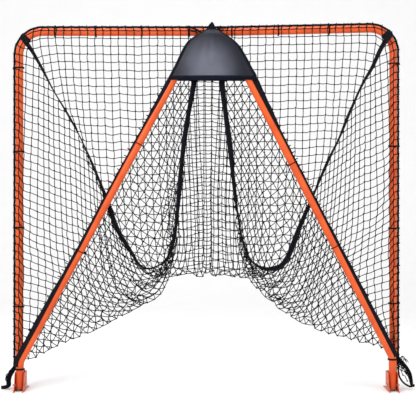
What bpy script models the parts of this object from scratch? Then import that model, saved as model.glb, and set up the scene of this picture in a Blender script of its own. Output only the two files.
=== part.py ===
"""Folding net goal: a tube arch, a V-shaped frame hinged at its feet, and a slack three-panel net.

Metres, +Z up. The V frame is on the -Y side, folded up against the arch. X runs along the crossbar.
"""

import math

import bmesh
import bpy
import numpy as np
from mathutils import Matrix, Quaternion, Vector

# Arch
TUBE_R = 0.019
TUBE_WALL = 0.0016
TUBE_SIDES = 16
GAP = 0.0004
ARCH_Y = 0.045
POST_X = 0.934
CROSSBAR_Z = 1.779
CORNER_R = 0.115
CORNER_STEPS = 7
BEND_STEPS = 8
RISE_START_X = 0.10
RISE_ANGLE = math.radians(1.33)
SLEEVE_HALF = 0.075

# Feet
SOLE_T = 0.0035
EAR_T = 0.003
EAR_GAP = 0.042
EAR_TOP = 0.092
TOE_REACH = 0.140
HEEL_REACH = 0.050
WEB_BACK = 0.0194
WEB_T = 0.003
BOLT_R = 0.004
BOLT_HOLE_R = 0.0045

# V frame, folded
HINGE_X = 0.9165
HINGE_Y = ARCH_Y - 0.082
HINGE_Z = 0.029
LEAN = 0.0126
APEX = (0.0295, 1.8856)
APEX_R = 0.120
LEG_SLOPE_LEFT = 0.5429
LEG_SLOPE_RIGHT = 0.5156
KNEE_R = 0.060
V_END_Z = 0.0125

# Border ropes, ties, tapes
ARCH_ROPE_R = 0.0045
V_ROPE_R = 0.0055
ROPE_SIDES = 8
TIE_W = 0.006
TIE_T = 0.0016
TAPE_W = 0.022
TAPE_T = 0.0016

# Net layers
NET_T = 0.002
BACK_Y = ARCH_Y - 0.0235
FRONT_Y = ARCH_Y - 0.0355
MID_Y = (BACK_Y + FRONT_Y) / 2

# Tie places: X along the crossbar, Z up the posts and the V's legs
CROSSBAR_TIES = (-0.7565, -0.5515, -0.3235, -0.0865, 0.128, 0.360, 0.612)
POST_TIES_LEFT = (1.6005, 1.181, 0.8015, 0.408)
POST_TIES_RIGHT = (1.6215, 1.2095, 0.7995, 0.4245)
LEG_TIES_LEFT = (1.2175, 0.679, 0.107)
LEG_TIES_RIGHT = (1.111, 0.7035, 0.146)

# Outline points of the slack net, X and Z
FOLD_LEFT = ((-0.893, 0.140), (-0.7465, 0.222), (-0.574, 0.292), (-0.468, 0.348),
             (-0.3085, 0.431), (-0.2315, 0.4675), (-0.205, 0.500))
FOLD_RIGHT = ((0.893, 0.185), (0.8045, 0.209), (0.6715, 0.2555), (0.572, 0.295),
              (0.466, 0.3415), (0.340, 0.421), (0.2715, 0.4685), (0.2365, 0.505))
FOLD_MIDDLE = ((-0.160, 0.552), (-0.0315, 0.553), (0.090, 0.560), (0.185, 0.566))
DOWN_LEFT = ((-0.868, 1.684), (-0.8055, 1.572), (-0.6735, 1.34), (-0.554, 1.088),
             (-0.5075, 0.975), (-0.4445, 0.7965), (-0.396, 0.717), (-0.355, 0.653))
TURN_LEFT = ((-0.3395, 0.6185), (-0.300, 0.592), (-0.248, 0.6065), (-0.202, 0.637),
             (-0.1765, 0.6805))
UP_LEFT = ((-0.1615, 0.74), (-0.1465, 0.8425), (-0.133, 1.0085), (-0.1165, 1.175),
           (-0.094, 1.34), (-0.0655, 1.49))
DOWN_RIGHT = ((0.871, 1.700), (0.8255, 1.597), (0.698, 1.34), (0.6055, 1.135),
              (0.5325, 0.965), (0.466, 0.81), (0.440, 0.74), (0.417, 0.68))
TURN_RIGHT = ((0.3915, 0.628), (0.355, 0.596), (0.3175, 0.594), (0.2715, 0.602),
              (0.2255, 0.630))
UP_RIGHT = ((0.197, 0.685), (0.171, 0.7765), (0.1545, 0.876), (0.131, 1.075),
            (0.118, 1.2075), (0.100, 1.34), (0.081, 1.49))

# Cover over the V's apex: height, left edge, right edge, end radius
COVER = ((1.530, -0.1935, 0.2505, 0.0225), (1.5568, -0.179, 0.247, 0.0225),
         (1.5914, -0.1605, 0.226, 0.0225), (1.6437, -0.1355, 0.199, 0.0225),
         (1.6965, -0.110, 0.168, 0.0225), (1.7267, -0.090, 0.1400, 0.0225),
         (1.752, -0.066, 0.120, 0.0225), (1.774, -0.034, 0.090, 0.0200))
COVER_TIP = ((1.783, -0.004, 0.062, 0.0110), (1.798, 0.012, 0.047, 0.0060),
             (1.815, 0.0255, 0.0335, 0.0022))
COVER_WALL = 0.0018
COVER_BULGE = 0.014
COVER_SIDE_STEPS = 5
COVER_FACE_STEPS = 7


# ---------------------------------------------------------------- scene helpers

def clear_scene():
    """Remove whatever is in the scene."""
    for obj in list(bpy.data.objects):
        bpy.data.objects.remove(obj)


def finish_material(name, colour, roughness, metallic):
    """One Principled material."""
    mat = bpy.data.materials.new(name)
    mat.use_nodes = True
    shader = mat.node_tree.nodes["Principled BSDF"]
    shader.inputs["Base Color"].default_value = (*colour, 1.0)
    shader.inputs["Roughness"].default_value = roughness
    shader.inputs["Metallic"].default_value = metallic
    return mat


FINISHES = {
    "paint": ((0.90, 0.13, 0.02), 0.32, 0.0),
    "zinc": ((0.55, 0.56, 0.58), 0.35, 1.0),
    "plastic": ((0.02, 0.02, 0.022), 0.5, 0.0),
    "rope": ((0.012, 0.012, 0.015), 0.8, 0.0),
    "net": ((0.03, 0.03, 0.033), 0.8, 0.0),
    "cover": ((0.07, 0.075, 0.10), 0.6, 0.0),
    "steel": ((0.45, 0.46, 0.48), 0.4, 1.0),
}


def add_mesh(name, verts, faces, finish, smooth=40.0, origin=(0, 0, 0), parent=None):
    """Make a named object from points in world space, with its own material and origin."""
    origin = Vector(origin)
    mesh = bpy.data.meshes.new(name)
    mesh.from_pydata([tuple(Vector(v) - origin) for v in verts], [], faces)
    mesh.validate()
    if smooth:
        mesh.polygons.foreach_set("use_smooth", [True] * len(mesh.polygons))
        mesh.set_sharp_from_angle(angle=math.radians(smooth))
    obj = bpy.data.objects.new(name, mesh)
    obj.location = origin
    bpy.context.scene.collection.objects.link(obj)
    if parent is not None:
        obj.parent = parent
        obj.location = origin - parent.location
    mesh.materials.append(finish_material(name + "_finish", *FINISHES[finish]))
    return obj


def cut(obj, cutter, operation="DIFFERENCE"):
    """Apply one exact Boolean to obj and drop the cutter."""
    modifier = obj.modifiers.new("cut", "BOOLEAN")
    modifier.operation = operation
    modifier.solver = "EXACT"
    modifier.object = cutter
    bpy.context.view_layer.update()
    graph = bpy.context.evaluated_depsgraph_get()
    done = bpy.data.meshes.new_from_object(obj.evaluated_get(graph))
    obj.modifiers.clear()
    obj.data = done
    bpy.data.objects.remove(cutter)
    return obj


# ---------------------------------------------------------------- paths and sweeps

def rounded_path(corners, radii, steps):
    """A polyline with its inner corners filleted. Points are 3-D, in one plane."""
    pts = [Vector(c) for c in corners]
    path = [pts[0]]
    for before, corner, after, radius in zip(pts, pts[1:], pts[2:], radii):
        a = (before - corner).normalized()
        b = (after - corner).normalized()
        half = a.angle(b) / 2
        centre = corner + (a + b).normalized() * (radius / math.sin(half))
        start = corner + a * (radius / math.tan(half))
        end = corner + b * (radius / math.tan(half))
        turn = (start - centre).angle(end - centre)
        axis = (start - centre).cross(end - centre).normalized()
        for i in range(steps + 1):
            spoke = (start - centre).copy()
            spoke.rotate(Quaternion(axis, turn * i / steps))
            path.append(centre + spoke)
    path.append(pts[-1])
    return path


def frames(path, plane_normal, start=None):
    """For each point of a planar path, its in-plane side direction, mitred.

    start is the direction of travel at the first point, where that end is cut on a slant.
    """
    normal = Vector(plane_normal).normalized()
    sides = []
    for i in range(len(path)):
        ahead = (path[min(i + 1, len(path) - 1)] - path[max(i, 0)])
        behind = (path[i] - path[max(i - 1, 0)])
        ahead = ahead.normalized() if ahead.length > 1e-9 else behind.normalized()
        behind = behind.normalized() if behind.length > 1e-9 else ahead
        tangent = (ahead + behind).normalized() if i or start is None else start
        stretch = 1.0 / max(0.5, tangent.dot(ahead))
        sides.append((normal.cross(tangent), stretch))
    return normal, sides


def sweep(path, rings, plane_normal, start=None):
    """Sweep closed cross-sections along a planar path. rings: lists of (side, normal) offsets.

    One ring gives a solid bar. Two rings, outer then inner, give a hollow one.
    """
    normal, sides = frames(path, plane_normal, start)
    verts, faces = [], []
    counts = [len(r) for r in rings]
    for r, ring in enumerate(rings):
        base = len(verts)
        n = counts[r]
        for point, (side, stretch) in zip(path, sides):
            verts += [point + side * (a * stretch) + normal * b for a, b in ring]
        for i in range(len(path) - 1):
            for k in range(n):
                a = base + i * n + k
                b = base + i * n + (k + 1) % n
                quad = (a, b, b + n, a + n)
                faces.append(quad if r == 0 else quad[::-1])
    last = (len(path) - 1)
    if len(rings) == 1:
        n = counts[0]
        faces.append(tuple(range(n))[::-1])
        faces.append(tuple(last * n + k for k in range(n)))
        return verts, faces
    n = counts[0]
    inner = n * len(path)
    for k in range(n):
        j = (k + 1) % n
        faces.append((j, k, inner + k, inner + j))
        o = last * n
        faces.append((o + k, o + j, inner + o + j, inner + o + k))
    return verts, faces


def circle(radius, sides, phase=0.5):
    """Points of a round section, counter-clockwise."""
    turn = 2 * math.pi / sides
    return [(radius * math.cos(turn * (k + phase)), radius * math.sin(turn * (k + phase)))
            for k in range(sides)]


def pipe(name, path, plane_normal, finish="paint", start=None, **where):
    """A hollow tube along a planar path."""
    rings = [circle(TUBE_R, TUBE_SIDES), circle(TUBE_R - TUBE_WALL, TUBE_SIDES)]
    return add_mesh(name, *sweep(path, rings, plane_normal, start), finish, **where)


def rod(name, path, radius, sides, plane_normal, finish, **where):
    """A solid round bar along a planar path."""
    return add_mesh(name, *sweep(path, [circle(radius, sides)], plane_normal), finish, **where)


def box(lo, hi):
    """Corner points and faces of a box."""
    verts = [(x, y, z) for x in (lo[0], hi[0]) for y in (lo[1], hi[1]) for z in (lo[2], hi[2])]
    faces = [(0, 1, 3, 2), (4, 6, 7, 5), (0, 4, 5, 1), (2, 3, 7, 6), (0, 2, 6, 4), (1, 5, 7, 3)]
    return verts, faces


def turned(name, profile, centre, axis, sides, finish, smooth=40.0, **where):
    """A closed solid of revolution about an X-directed axis. profile: (along, radius) points."""
    verts, faces = [], []
    for along, radius in profile:
        for y, z in circle(radius, sides):
            verts.append((centre[0] + axis * along, centre[1] + y, centre[2] + z))
    n = len(profile)
    for i in range(n):
        j = (i + 1) % n
        for k in range(sides):
            m = (k + 1) % sides
            quad = (i * sides + k, j * sides + k, j * sides + m, i * sides + m)
            faces.append(quad if axis > 0 else quad[::-1])
    return add_mesh(name, verts, faces, finish, smooth, origin=centre, **where)


# ---------------------------------------------------------------- the arch

Y_AXIS = (0, -1, 0)


def crossbar_z(x):
    """Height of the crossbar's centreline. The right half rises a little."""
    return CROSSBAR_Z + max(0.0, x - RISE_START_X) * math.tan(RISE_ANGLE)


def arch_half(side, offset=0.0, foot=SOLE_T + GAP, start_x=None):
    """Centreline of one half of the arch, moved outward by offset."""
    x = side * (POST_X + offset)
    begin = side * GAP / 2 if start_x is None else start_x
    top = crossbar_z(side * POST_X) if side > 0 else CROSSBAR_Z
    corners = [(begin, ARCH_Y, CROSSBAR_Z + offset)]
    if side > 0:
        corners.append((RISE_START_X, ARCH_Y, CROSSBAR_Z + offset))
    corners += [(x, ARCH_Y, top + offset), (x, ARCH_Y, foot)]
    radii = [3.0, CORNER_R + offset] if side > 0 else [CORNER_R + offset]
    path = rounded_path(corners, radii, CORNER_STEPS)
    return path


def build_arch():
    """Both halves, the inner sleeve that joins them and its two snap buttons."""
    for side, word in ((-1, "left"), (1, "right")):
        pipe("arch_tube_" + word, arch_half(side), Y_AXIS)
        seat = side * SLEEVE_HALF * 0.55
        centre = (seat, ARCH_Y - TUBE_R - GAP - 0.0002, CROSSBAR_Z)
        snap_button("crossbar_button_" + word, centre)
    radius = TUBE_R - TUBE_WALL - 0.0005
    line = [Vector((-SLEEVE_HALF, ARCH_Y, CROSSBAR_Z)), Vector((SLEEVE_HALF, ARCH_Y, CROSSBAR_Z))]
    rings = [circle(radius, TUBE_SIDES), circle(radius - 0.0015, TUBE_SIDES)]
    add_mesh("crossbar_sleeve", *sweep(line, rings, Y_AXIS), "steel")


def snap_button(name, centre):
    """A small domed button on the tube's face, pointing to -Y."""
    profile = ((0.0, 0.0040), (0.0012, 0.0040), (0.0022, 0.0028), (0.0026, 0.0012))
    verts, faces = [], []
    sides = 10
    for out, radius in profile:
        verts += [(centre[0] + x, centre[1] - out, centre[2] + z) for x, z in circle(radius, sides)]
    for i in range(len(profile) - 1):
        for k in range(sides):
            m = (k + 1) % sides
            faces.append((i * sides + k, i * sides + m, (i + 1) * sides + m, (i + 1) * sides + k))
    faces.append(tuple(range(sides))[::-1])
    faces.append(tuple((len(profile) - 1) * sides + k for k in range(sides)))
    add_mesh(name, verts, faces, "zinc", origin=centre)


def ear_outline():
    """Side view of one ear, as (reach behind the arch, height)."""
    return ((WEB_BACK, 0.0), (TOE_REACH, 0.0), (0.122, 0.014), (0.110, 0.030), (0.105, 0.055),
            (0.100, 0.080), (0.092, EAR_TOP), (WEB_BACK, EAR_TOP))


def ear(name, x):
    """One upright ear plate, centred on x."""
    outline = ear_outline()
    n = len(outline)
    verts = [(x + s * EAR_T / 2, ARCH_Y - reach, z) for s in (-1, 1) for reach, z in outline]
    faces = [tuple(range(n)), tuple(range(n, 2 * n))[::-1]]
    for k in range(n):
        m = (k + 1) % n
        faces.append((m, k, k + n, m + n))
    return add_mesh(name, verts, faces, "paint", smooth=0)


def build_foot(side, word):
    """Sole, web and two ears in one welded bracket, with the bolt holes cut through."""
    centre = side * HINGE_X
    half = EAR_GAP / 2 + EAR_T
    inner = centre - side * half
    outer = side * (POST_X + TUBE_R + 0.003)
    lo_x, hi_x = min(inner, outer), max(inner, outer)
    name = "foot_bracket_" + word
    bracket = add_mesh(name, *box((lo_x, ARCH_Y - 0.030, 0.0), (hi_x, ARCH_Y + HEEL_REACH, SOLE_T)),
                       "paint", smooth=0)
    web = box((centre - half, ARCH_Y - WEB_BACK - WEB_T, 0.0), (centre + half, ARCH_Y - WEB_BACK, EAR_TOP))
    cut(bracket, add_mesh("web", *web, "paint", smooth=0), "UNION")
    for s in (-1, 1):
        plate = ear("ear", centre + s * (half - EAR_T / 2))
        cut(bracket, plate, "UNION")
    cut(bracket, bolt_cutter(centre, 0.04))
    return bracket


def bolt_cutter(x, reach):
    """A round cutter along X through the hinge axis."""
    line = [Vector((x - reach, HINGE_Y, HINGE_Z)), Vector((x + reach, HINGE_Y, HINGE_Z))]
    return rod("cutter", line, BOLT_HOLE_R, 16, Y_AXIS, "zinc")


def build_hinge(side, word):
    """Bolt, nut and two washers on the hinge axis. The head is on the inner ear."""
    half = EAR_GAP / 2 + EAR_T
    centre = (side * HINGE_X, HINGE_Y, HINGE_Z)
    head = half + 0.0004
    tail = half + 0.0115
    bolt = ((-tail, 0.0002), (-tail, BOLT_R), (head, BOLT_R), (head, 0.0076), (head + 0.0045, 0.0076),
            (head + 0.0055, 0.0066), (head + 0.0055, 0.0002))
    solid_turned("hinge_bolt_" + word, bolt, centre, -side, 18)
    nut = ((-half - 0.0004, BOLT_R + 0.0006), (-half - 0.0004, 0.0072), (-half - 0.0062, 0.0072),
           (-half - 0.0074, 0.0060), (-half - 0.0074, BOLT_R + 0.0006))
    turned("hinge_nut_" + word, nut, centre, -side, 18, "zinc")
    for s, place in ((-1, "out"), (1, "in")):
        a, b = s * (EAR_GAP / 2 - 0.0004), s * (EAR_GAP / 2 - 0.0016)
        ring = ((min(a, b), BOLT_R + 0.0006), (min(a, b), 0.009), (max(a, b), 0.009),
                (max(a, b), BOLT_R + 0.0006))
        turned("hinge_washer_" + word + "_" + place, ring[::-1], centre, -side, 18, "zinc")


def solid_turned(name, profile, centre, axis, sides, finish="zinc"):
    """A solid of revolution whose first and last profile points close on the axis."""
    verts, faces = [], []
    inner = profile[1:-1]
    for along, radius in inner:
        verts += [(centre[0] + axis * along, centre[1] + y, centre[2] + z)
                  for y, z in circle(radius, sides)]
    for i in range(len(inner) - 1):
        for k in range(sides):
            m = (k + 1) % sides
            quad = (i * sides + k, i * sides + m, (i + 1) * sides + m, (i + 1) * sides + k)
            faces.append(quad if axis > 0 else quad[::-1])
    first = tuple(range(sides))
    last = tuple((len(inner) - 1) * sides + k for k in range(sides))
    faces.append(first[::-1] if axis > 0 else first)
    faces.append(last if axis > 0 else last[::-1])
    add_mesh(name, verts, faces, finish, origin=centre)


# ---------------------------------------------------------------- the V frame

def v_y(z):
    """Depth of the V frame's middle plane at height z. It leans on the arch at the top."""
    return HINGE_Y + LEAN * (z - HINGE_Z)


def v_point(x, z):
    """A point in the V frame's middle plane."""
    return Vector((x, v_y(z), z))


V_NORMAL = (0, -1, LEAN)


def leg_x(side, z):
    """X of a leg's straight stretch at height z."""
    slope = LEG_SLOPE_LEFT if side < 0 else LEG_SLOPE_RIGHT
    return APEX[0] + side * slope * (APEX[1] - z)


def knee_z(side):
    """Height at which a leg's straight stretch meets its upright end."""
    slope = LEG_SLOPE_LEFT if side < 0 else LEG_SLOPE_RIGHT
    return APEX[1] - (HINGE_X - side * APEX[0]) / slope


def v_path():
    """Centreline of the whole V, from the left end over the apex to the right end."""
    corners = [v_point(-HINGE_X, V_END_Z), v_point(-HINGE_X, knee_z(-1)), v_point(*APEX),
               v_point(HINGE_X, knee_z(1)), v_point(HINGE_X, V_END_Z)]
    return rounded_path(corners, [KNEE_R, APEX_R, KNEE_R], BEND_STEPS)


def leg_path(side, offset=0.0):
    """One leg's centreline from the middle of the apex bend to its end, moved outward."""
    path = v_path()
    middle = len(path) // 2
    half = path[middle::-1] if side < 0 else path[middle:]
    if not offset:
        return half
    normal, sides = frames(half, V_NORMAL)
    return [p + s * (k * side * offset) for p, (s, k) in zip(half, sides)]


def build_v_frame(hinge):
    """Both legs with their bolt holes, the sleeve at the apex and the end plugs."""
    for side, word in ((-1, "left"), (1, "right")):
        path = leg_path(side)
        whole = v_path()
        middle = len(whole) // 2
        across = (whole[middle + 1] - whole[middle - 1]).normalized() * side
        path[0] = path[0] + across * (GAP / 2)
        leg = pipe("v_tube_" + word, path, V_NORMAL, start=across)
        cut(leg, bolt_cutter(side * HINGE_X, 0.0195))
        adopt(leg, hinge)
        build_plug(side, word, hinge)
    build_apex_sleeve(hinge)


def adopt(obj, hinge):
    """Parent obj to the hinge empty, with its origin on the hinge axis."""
    shift = obj.location - hinge.location
    obj.data.transform(Matrix.Translation(shift))
    obj.parent = hinge
    obj.location = (0, 0, 0)


def build_apex_sleeve(hinge):
    """A bent inner sleeve across the joint at the apex."""
    radius = TUBE_R - TUBE_WALL - 0.0007
    path = v_path()
    middle = len(path) // 2
    path = path[middle - 3:middle + 4]
    rings = [circle(radius, TUBE_SIDES), circle(radius - 0.0015, TUBE_SIDES)]
    add_mesh("apex_sleeve", *sweep(path, rings, V_NORMAL), "steel", origin=hinge.location, parent=hinge)


def build_plug(side, word, hinge):
    """End plug of one leg: a flange under the tube and a shank inside it."""
    shank = TUBE_R - TUBE_WALL - 0.0004
    profile = ((V_END_Z - GAP - 0.0022, TUBE_R - 0.0012), (V_END_Z - GAP - 0.0008, TUBE_R),
               (V_END_Z - GAP, TUBE_R), (V_END_Z - GAP, shank), (V_END_Z + 0.0095, shank - 0.0004))
    verts, faces = [], []
    sides = TUBE_SIDES
    for z, radius in profile:
        for a, b in circle(radius, sides):
            verts.append((side * HINGE_X + a, v_y(z) + b, z))
    for i in range(len(profile) - 1):
        for k in range(sides):
            m = (k + 1) % sides
            faces.append((i * sides + k, i * sides + m, (i + 1) * sides + m, (i + 1) * sides + k))
    faces.append(tuple(range(sides))[::-1])
    faces.append(tuple((len(profile) - 1) * sides + k for k in range(sides)))
    add_mesh("v_plug_" + word, verts, faces, "plastic", origin=hinge.location, parent=hinge)


# ---------------------------------------------------------------- the apex cover

def cover_ring(z, left, right, radius, inset, bulge):
    """One level section of the cover: half-round ends, flat back, bulging front."""
    points = []
    y = v_y(z)
    r = radius - inset
    xl, xr = left + radius, right - radius
    for i in range(COVER_SIDE_STEPS + 1):
        t = math.pi / 2 + math.pi * i / COVER_SIDE_STEPS
        points.append((xl + r * math.cos(t), y + r * math.sin(t), z))
    for i in range(1, COVER_FACE_STEPS):
        t = i / COVER_FACE_STEPS
        swell = bulge * math.sin(math.pi * t) ** 0.8
        points.append((xl + (xr - xl) * t, y - r - swell, z))
    for i in range(COVER_SIDE_STEPS + 1):
        t = -math.pi / 2 + math.pi * i / COVER_SIDE_STEPS
        points.append((xr + r * math.cos(t), y + r * math.sin(t), z))
    for i in range(1, COVER_FACE_STEPS):
        t = i / COVER_FACE_STEPS
        points.append((xr + (xl - xr) * t, y + r, z))
    return points


def build_cover(hinge):
    """A fabric pouch, open below, over the apex of the V."""
    rings = []
    for level, (z, left, right, radius) in enumerate(COVER + COVER_TIP):
        swell = COVER_BULGE * math.sin(math.pi * min(1.0, (level + 1.5) / (len(COVER) + 1.5)))
        rings.append(cover_ring(z, left, right, radius, 0.0, max(0.0, swell)))
    outer_count = len(rings)
    for level in range(len(COVER) - 1, -1, -1):
        z, left, right, radius = COVER[level]
        swell = COVER_BULGE * math.sin(math.pi * min(1.0, (level + 1.5) / (len(COVER) + 1.5)))
        drop = COVER_WALL if level == len(COVER) - 1 else 0.0
        rings.append(cover_ring(z - drop, left, right, radius, COVER_WALL, max(0.0, swell)))
    n = len(rings[0])
    verts = [p for ring in rings for p in ring]
    faces = []
    for i in range(len(rings)):
        if i == outer_count - 1:
            continue
        j = (i + 1) % len(rings)
        for k in range(n):
            m = (k + 1) % n
            faces.append((i * n + k, i * n + m, j * n + m, j * n + k))
    top = (outer_count - 1) * n
    faces.append(tuple(top + k for k in range(n)))
    faces.append(tuple(top + n + k for k in range(n))[::-1])
    add_mesh("apex_cover", verts, faces, "cover", smooth=60, origin=hinge.location, parent=hinge)


# ---------------------------------------------------------------- ropes, ties and straps

def build_ropes(hinge):
    """Border rope of the arch in one length, and one on the outer side of each leg."""
    offset = TUBE_R + ARCH_ROPE_R + 0.0006
    left = arch_half(-1, offset, foot=0.108)
    right = arch_half(1, offset, foot=0.108)
    path = left[::-1][:-1] + right[1:]
    rod("arch_border_rope", path, ARCH_ROPE_R, ROPE_SIDES, Y_AXIS, "rope")
    offset = TUBE_R + V_ROPE_R + 0.0006
    for side, word in ((-1, "left"), (1, "right")):
        slope = LEG_SLOPE_LEFT if side < 0 else LEG_SLOPE_RIGHT
        aside = side * offset * math.hypot(1, slope)
        line = [v_point(leg_x(side, z) + aside, z) for z in (1.495, 0.195)]
        rod("v_border_rope_" + word, line, V_ROPE_R, ROPE_SIDES, V_NORMAL, "rope",
            origin=hinge.location, parent=hinge)


def loop_outline(r_tube, r_rope, distance, steps=14):
    """Outline of a loop drawn round the tube and the rope beside it."""
    lean = math.acos((r_tube - r_rope) / distance)
    points = []
    for i in range(steps + 1):
        t = lean + (2 * math.pi - 2 * lean) * i / steps
        points.append((r_tube * math.cos(t), r_tube * math.sin(t)))
    for i in range(5):
        t = -lean + 2 * lean * i / 4
        points.append((distance + r_rope * math.cos(t), r_rope * math.sin(t)))
    return points


def build_loop(name, centre, outward, tangent, rope_r, width, clearance=GAP, finish="rope", parent=None):
    """A flat band tied round tube and border rope."""
    out = Vector(outward).normalized()
    along = Vector(tangent).normalized()
    across = along.cross(out).normalized()
    distance = TUBE_R + rope_r + 0.0006
    inner = loop_outline(TUBE_R + clearance, rope_r + clearance, distance)
    outer = loop_outline(TUBE_R + clearance + TIE_T, rope_r + clearance + TIE_T, distance)
    n = len(inner)
    verts = []
    for ring, shift in ((outer, -0.5), (outer, 0.5), (inner, 0.5), (inner, -0.5)):
        verts += [Vector(centre) + out * a + across * b + along * (shift * width) for a, b in ring]
    faces = []
    for i in range(4):
        j = (i + 1) % 4
        for k in range(n):
            m = (k + 1) % n
            faces.append((i * n + k, i * n + m, j * n + m, j * n + k))
    origin = centre if parent is None else parent.location
    return add_mesh(name, verts, faces, finish, origin=origin, parent=parent)


def build_ties(hinge):
    """Ties on the crossbar, the posts and the V's legs, and the two corner straps."""
    for i, x in enumerate(CROSSBAR_TIES):
        rise = math.tan(RISE_ANGLE) if x > RISE_START_X + 0.03 else 0.0
        place = (x, ARCH_Y, crossbar_z(x))
        build_loop("crossbar_tie_%d" % (i + 1), place, (-rise, 0, 1), (1, 0, rise), ARCH_ROPE_R, TIE_W)
    for side, word, heights in ((-1, "left", POST_TIES_LEFT), (1, "right", POST_TIES_RIGHT)):
        for i, z in enumerate(heights):
            build_loop("post_tie_%s_%d" % (word, i + 1), (side * POST_X, ARCH_Y, z), (side, 0, 0),
                       (0, 0, side), ARCH_ROPE_R, TIE_W)
    for side, word, heights in ((-1, "left", LEG_TIES_LEFT), (1, "right", LEG_TIES_RIGHT)):
        for i, z in enumerate(heights):
            build_leg_tie(side, word, i + 1, z, hinge)
    for side, word in ((-1, "left"), (1, "right")):
        build_corner_strap(side, word)


def build_leg_tie(side, word, number, z, hinge):
    """One tie on a leg. The lowest one is on the upright end, below the rope."""
    name = "leg_tie_%s_%d" % (word, number)
    if number < 3:
        along = (v_point(leg_x(side, z + 0.1), z + 0.1) - v_point(leg_x(side, z), z)).normalized()
        outward = Vector(V_NORMAL).normalized().cross(along) * side
        if outward.x * side < 0:
            outward = -outward
        build_loop(name, v_point(leg_x(side, z), z), outward, along, V_ROPE_R, TIE_W, parent=hinge)
        return
    along = (v_point(0, z + 0.1) - v_point(0, z)).normalized()
    ring = circle(TUBE_R + GAP, TUBE_SIDES)
    outer = circle(TUBE_R + GAP + 0.0011, TUBE_SIDES)
    centre = v_point(side * HINGE_X, z)
    line = [centre - along * TIE_W / 2, centre + along * TIE_W / 2]
    add_mesh(name, *sweep(line, [outer, ring], V_NORMAL), "rope", origin=hinge.location, parent=hinge)


def build_corner_strap(side, word):
    """Webbing wrapped round the tube and the rope in the middle of a top corner."""
    top = crossbar_z(side * (POST_X - CORNER_R))
    centre = Vector((side * (POST_X - CORNER_R), ARCH_Y, top - CORNER_R))
    out = Vector((side, 0, 1)).normalized()
    width = 0.024 if side < 0 else 0.032
    build_loop("corner_strap_" + word, centre + out * CORNER_R, out, (1, 0, -side), ARCH_ROPE_R, width,
               clearance=0.0026)


def build_tails():
    """The loose lower ends of the border rope, each a free cord."""
    x, y = POST_X + TUBE_R + ARCH_ROPE_R + 0.0006, ARCH_Y
    left = ((-x, y, 0.1065), (-x, y, 0.100), (-x - 0.012, y - 0.008, 0.088), (-0.990, y - 0.016, 0.060),
            (-0.992, y - 0.020, 0.036), (-0.988, y - 0.022, 0.024), (-1.004, y - 0.024, 0.011),
            (-1.022, y - 0.024, 0.0065))
    right = ((x, y, 0.1065), (x, y, 0.100), (x + 0.012, y - 0.006, 0.093), (0.985, y - 0.014, 0.084),
             (1.006, y - 0.020, 0.062), (1.012, y - 0.022, 0.040), (1.018, y - 0.024, 0.028),
             (1.036, y - 0.024, 0.020))
    for points, word in ((left, "left"), (right, "right")):
        tail = bpy.data.curves.new("border_tail_" + word, "CURVE")
        tail.dimensions = "3D"
        tail.bevel_depth = 0.0048
        tail.bevel_resolution = 2
        tail.use_fill_caps = True
        smooth = smooth_route(points, 18)
        spline = tail.splines.new("POLY")
        spline.points.add(len(smooth) - 1)
        for node, point in zip(spline.points, smooth):
            node.co = (*point, 1.0)
        obj = bpy.data.objects.new("border_tail_" + word, tail)
        bpy.context.scene.collection.objects.link(obj)
        tail.materials.append(finish_material("border_tail_%s_finish" % word, *FINISHES["rope"]))


def smooth_route(points, count):
    """Evenly spaced points on a smooth curve through the given ones."""
    pts = np.array(points, float)
    pts = np.vstack([2 * pts[0] - pts[1], pts, 2 * pts[-1] - pts[-2]])
    fine = []
    for i in range(1, len(pts) - 2):
        for t in np.linspace(0, 1, 12, endpoint=False):
            a, b, c, d = pts[i - 1:i + 3]
            fine.append(0.5 * (2 * b + (c - a) * t + (2 * a - 5 * b + 4 * c - d) * t * t
                               + (3 * b - a - 3 * c + d) * t ** 3))
    fine.append(pts[-2])
    fine = np.array(fine)
    along = np.concatenate([[0], np.cumsum(np.linalg.norm(np.diff(fine, axis=0), axis=1))])
    at = np.linspace(0, along[-1], count)
    return np.stack([np.interp(at, along, fine[:, k]) for k in range(fine.shape[1])], axis=1)


# ---------------------------------------------------------------- the net

def resample(points, count):
    """Evenly spaced points on an X-Z outline."""
    pts = np.array(points, float)
    along = np.concatenate([[0], np.cumsum(np.linalg.norm(np.diff(pts, axis=0), axis=1))])
    at = np.linspace(0, along[-1], count)
    return np.stack([np.interp(at, along, pts[:, k]) for k in range(2)], axis=1)


def beside(points, distance):
    """An outline moved sideways, to the left of its direction when distance is positive."""
    pts = np.array(points, float)
    step = np.gradient(pts, axis=0)
    step /= np.linalg.norm(step, axis=1)[:, None]
    return pts + distance * np.stack([-step[:, 1], step[:, 0]], axis=1)


def layer(bottom, top, first_edge, last_edge, rows, columns):
    """A four-sided patch of X-Z points between a bottom line and a top line.

    The two edges run from bottom to top. Rows go up, columns go along the bottom.
    """
    low, high = resample(bottom, columns), resample(top, columns)
    first, last = resample(first_edge, rows), resample(last_edge, rows)
    grid = np.zeros((rows, columns, 2))
    for i in range(rows):
        q = i / (rows - 1)
        for j in range(columns):
            t = j / (columns - 1)
            straight = (1 - q) * low[j] + q * high[j]
            left_dev = first[i] - ((1 - q) * low[0] + q * high[0])
            right_dev = last[i] - ((1 - q) * low[-1] + q * high[-1])
            grid[i, j] = straight + (1 - t) * left_dev + t * right_dev
    return grid


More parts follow.
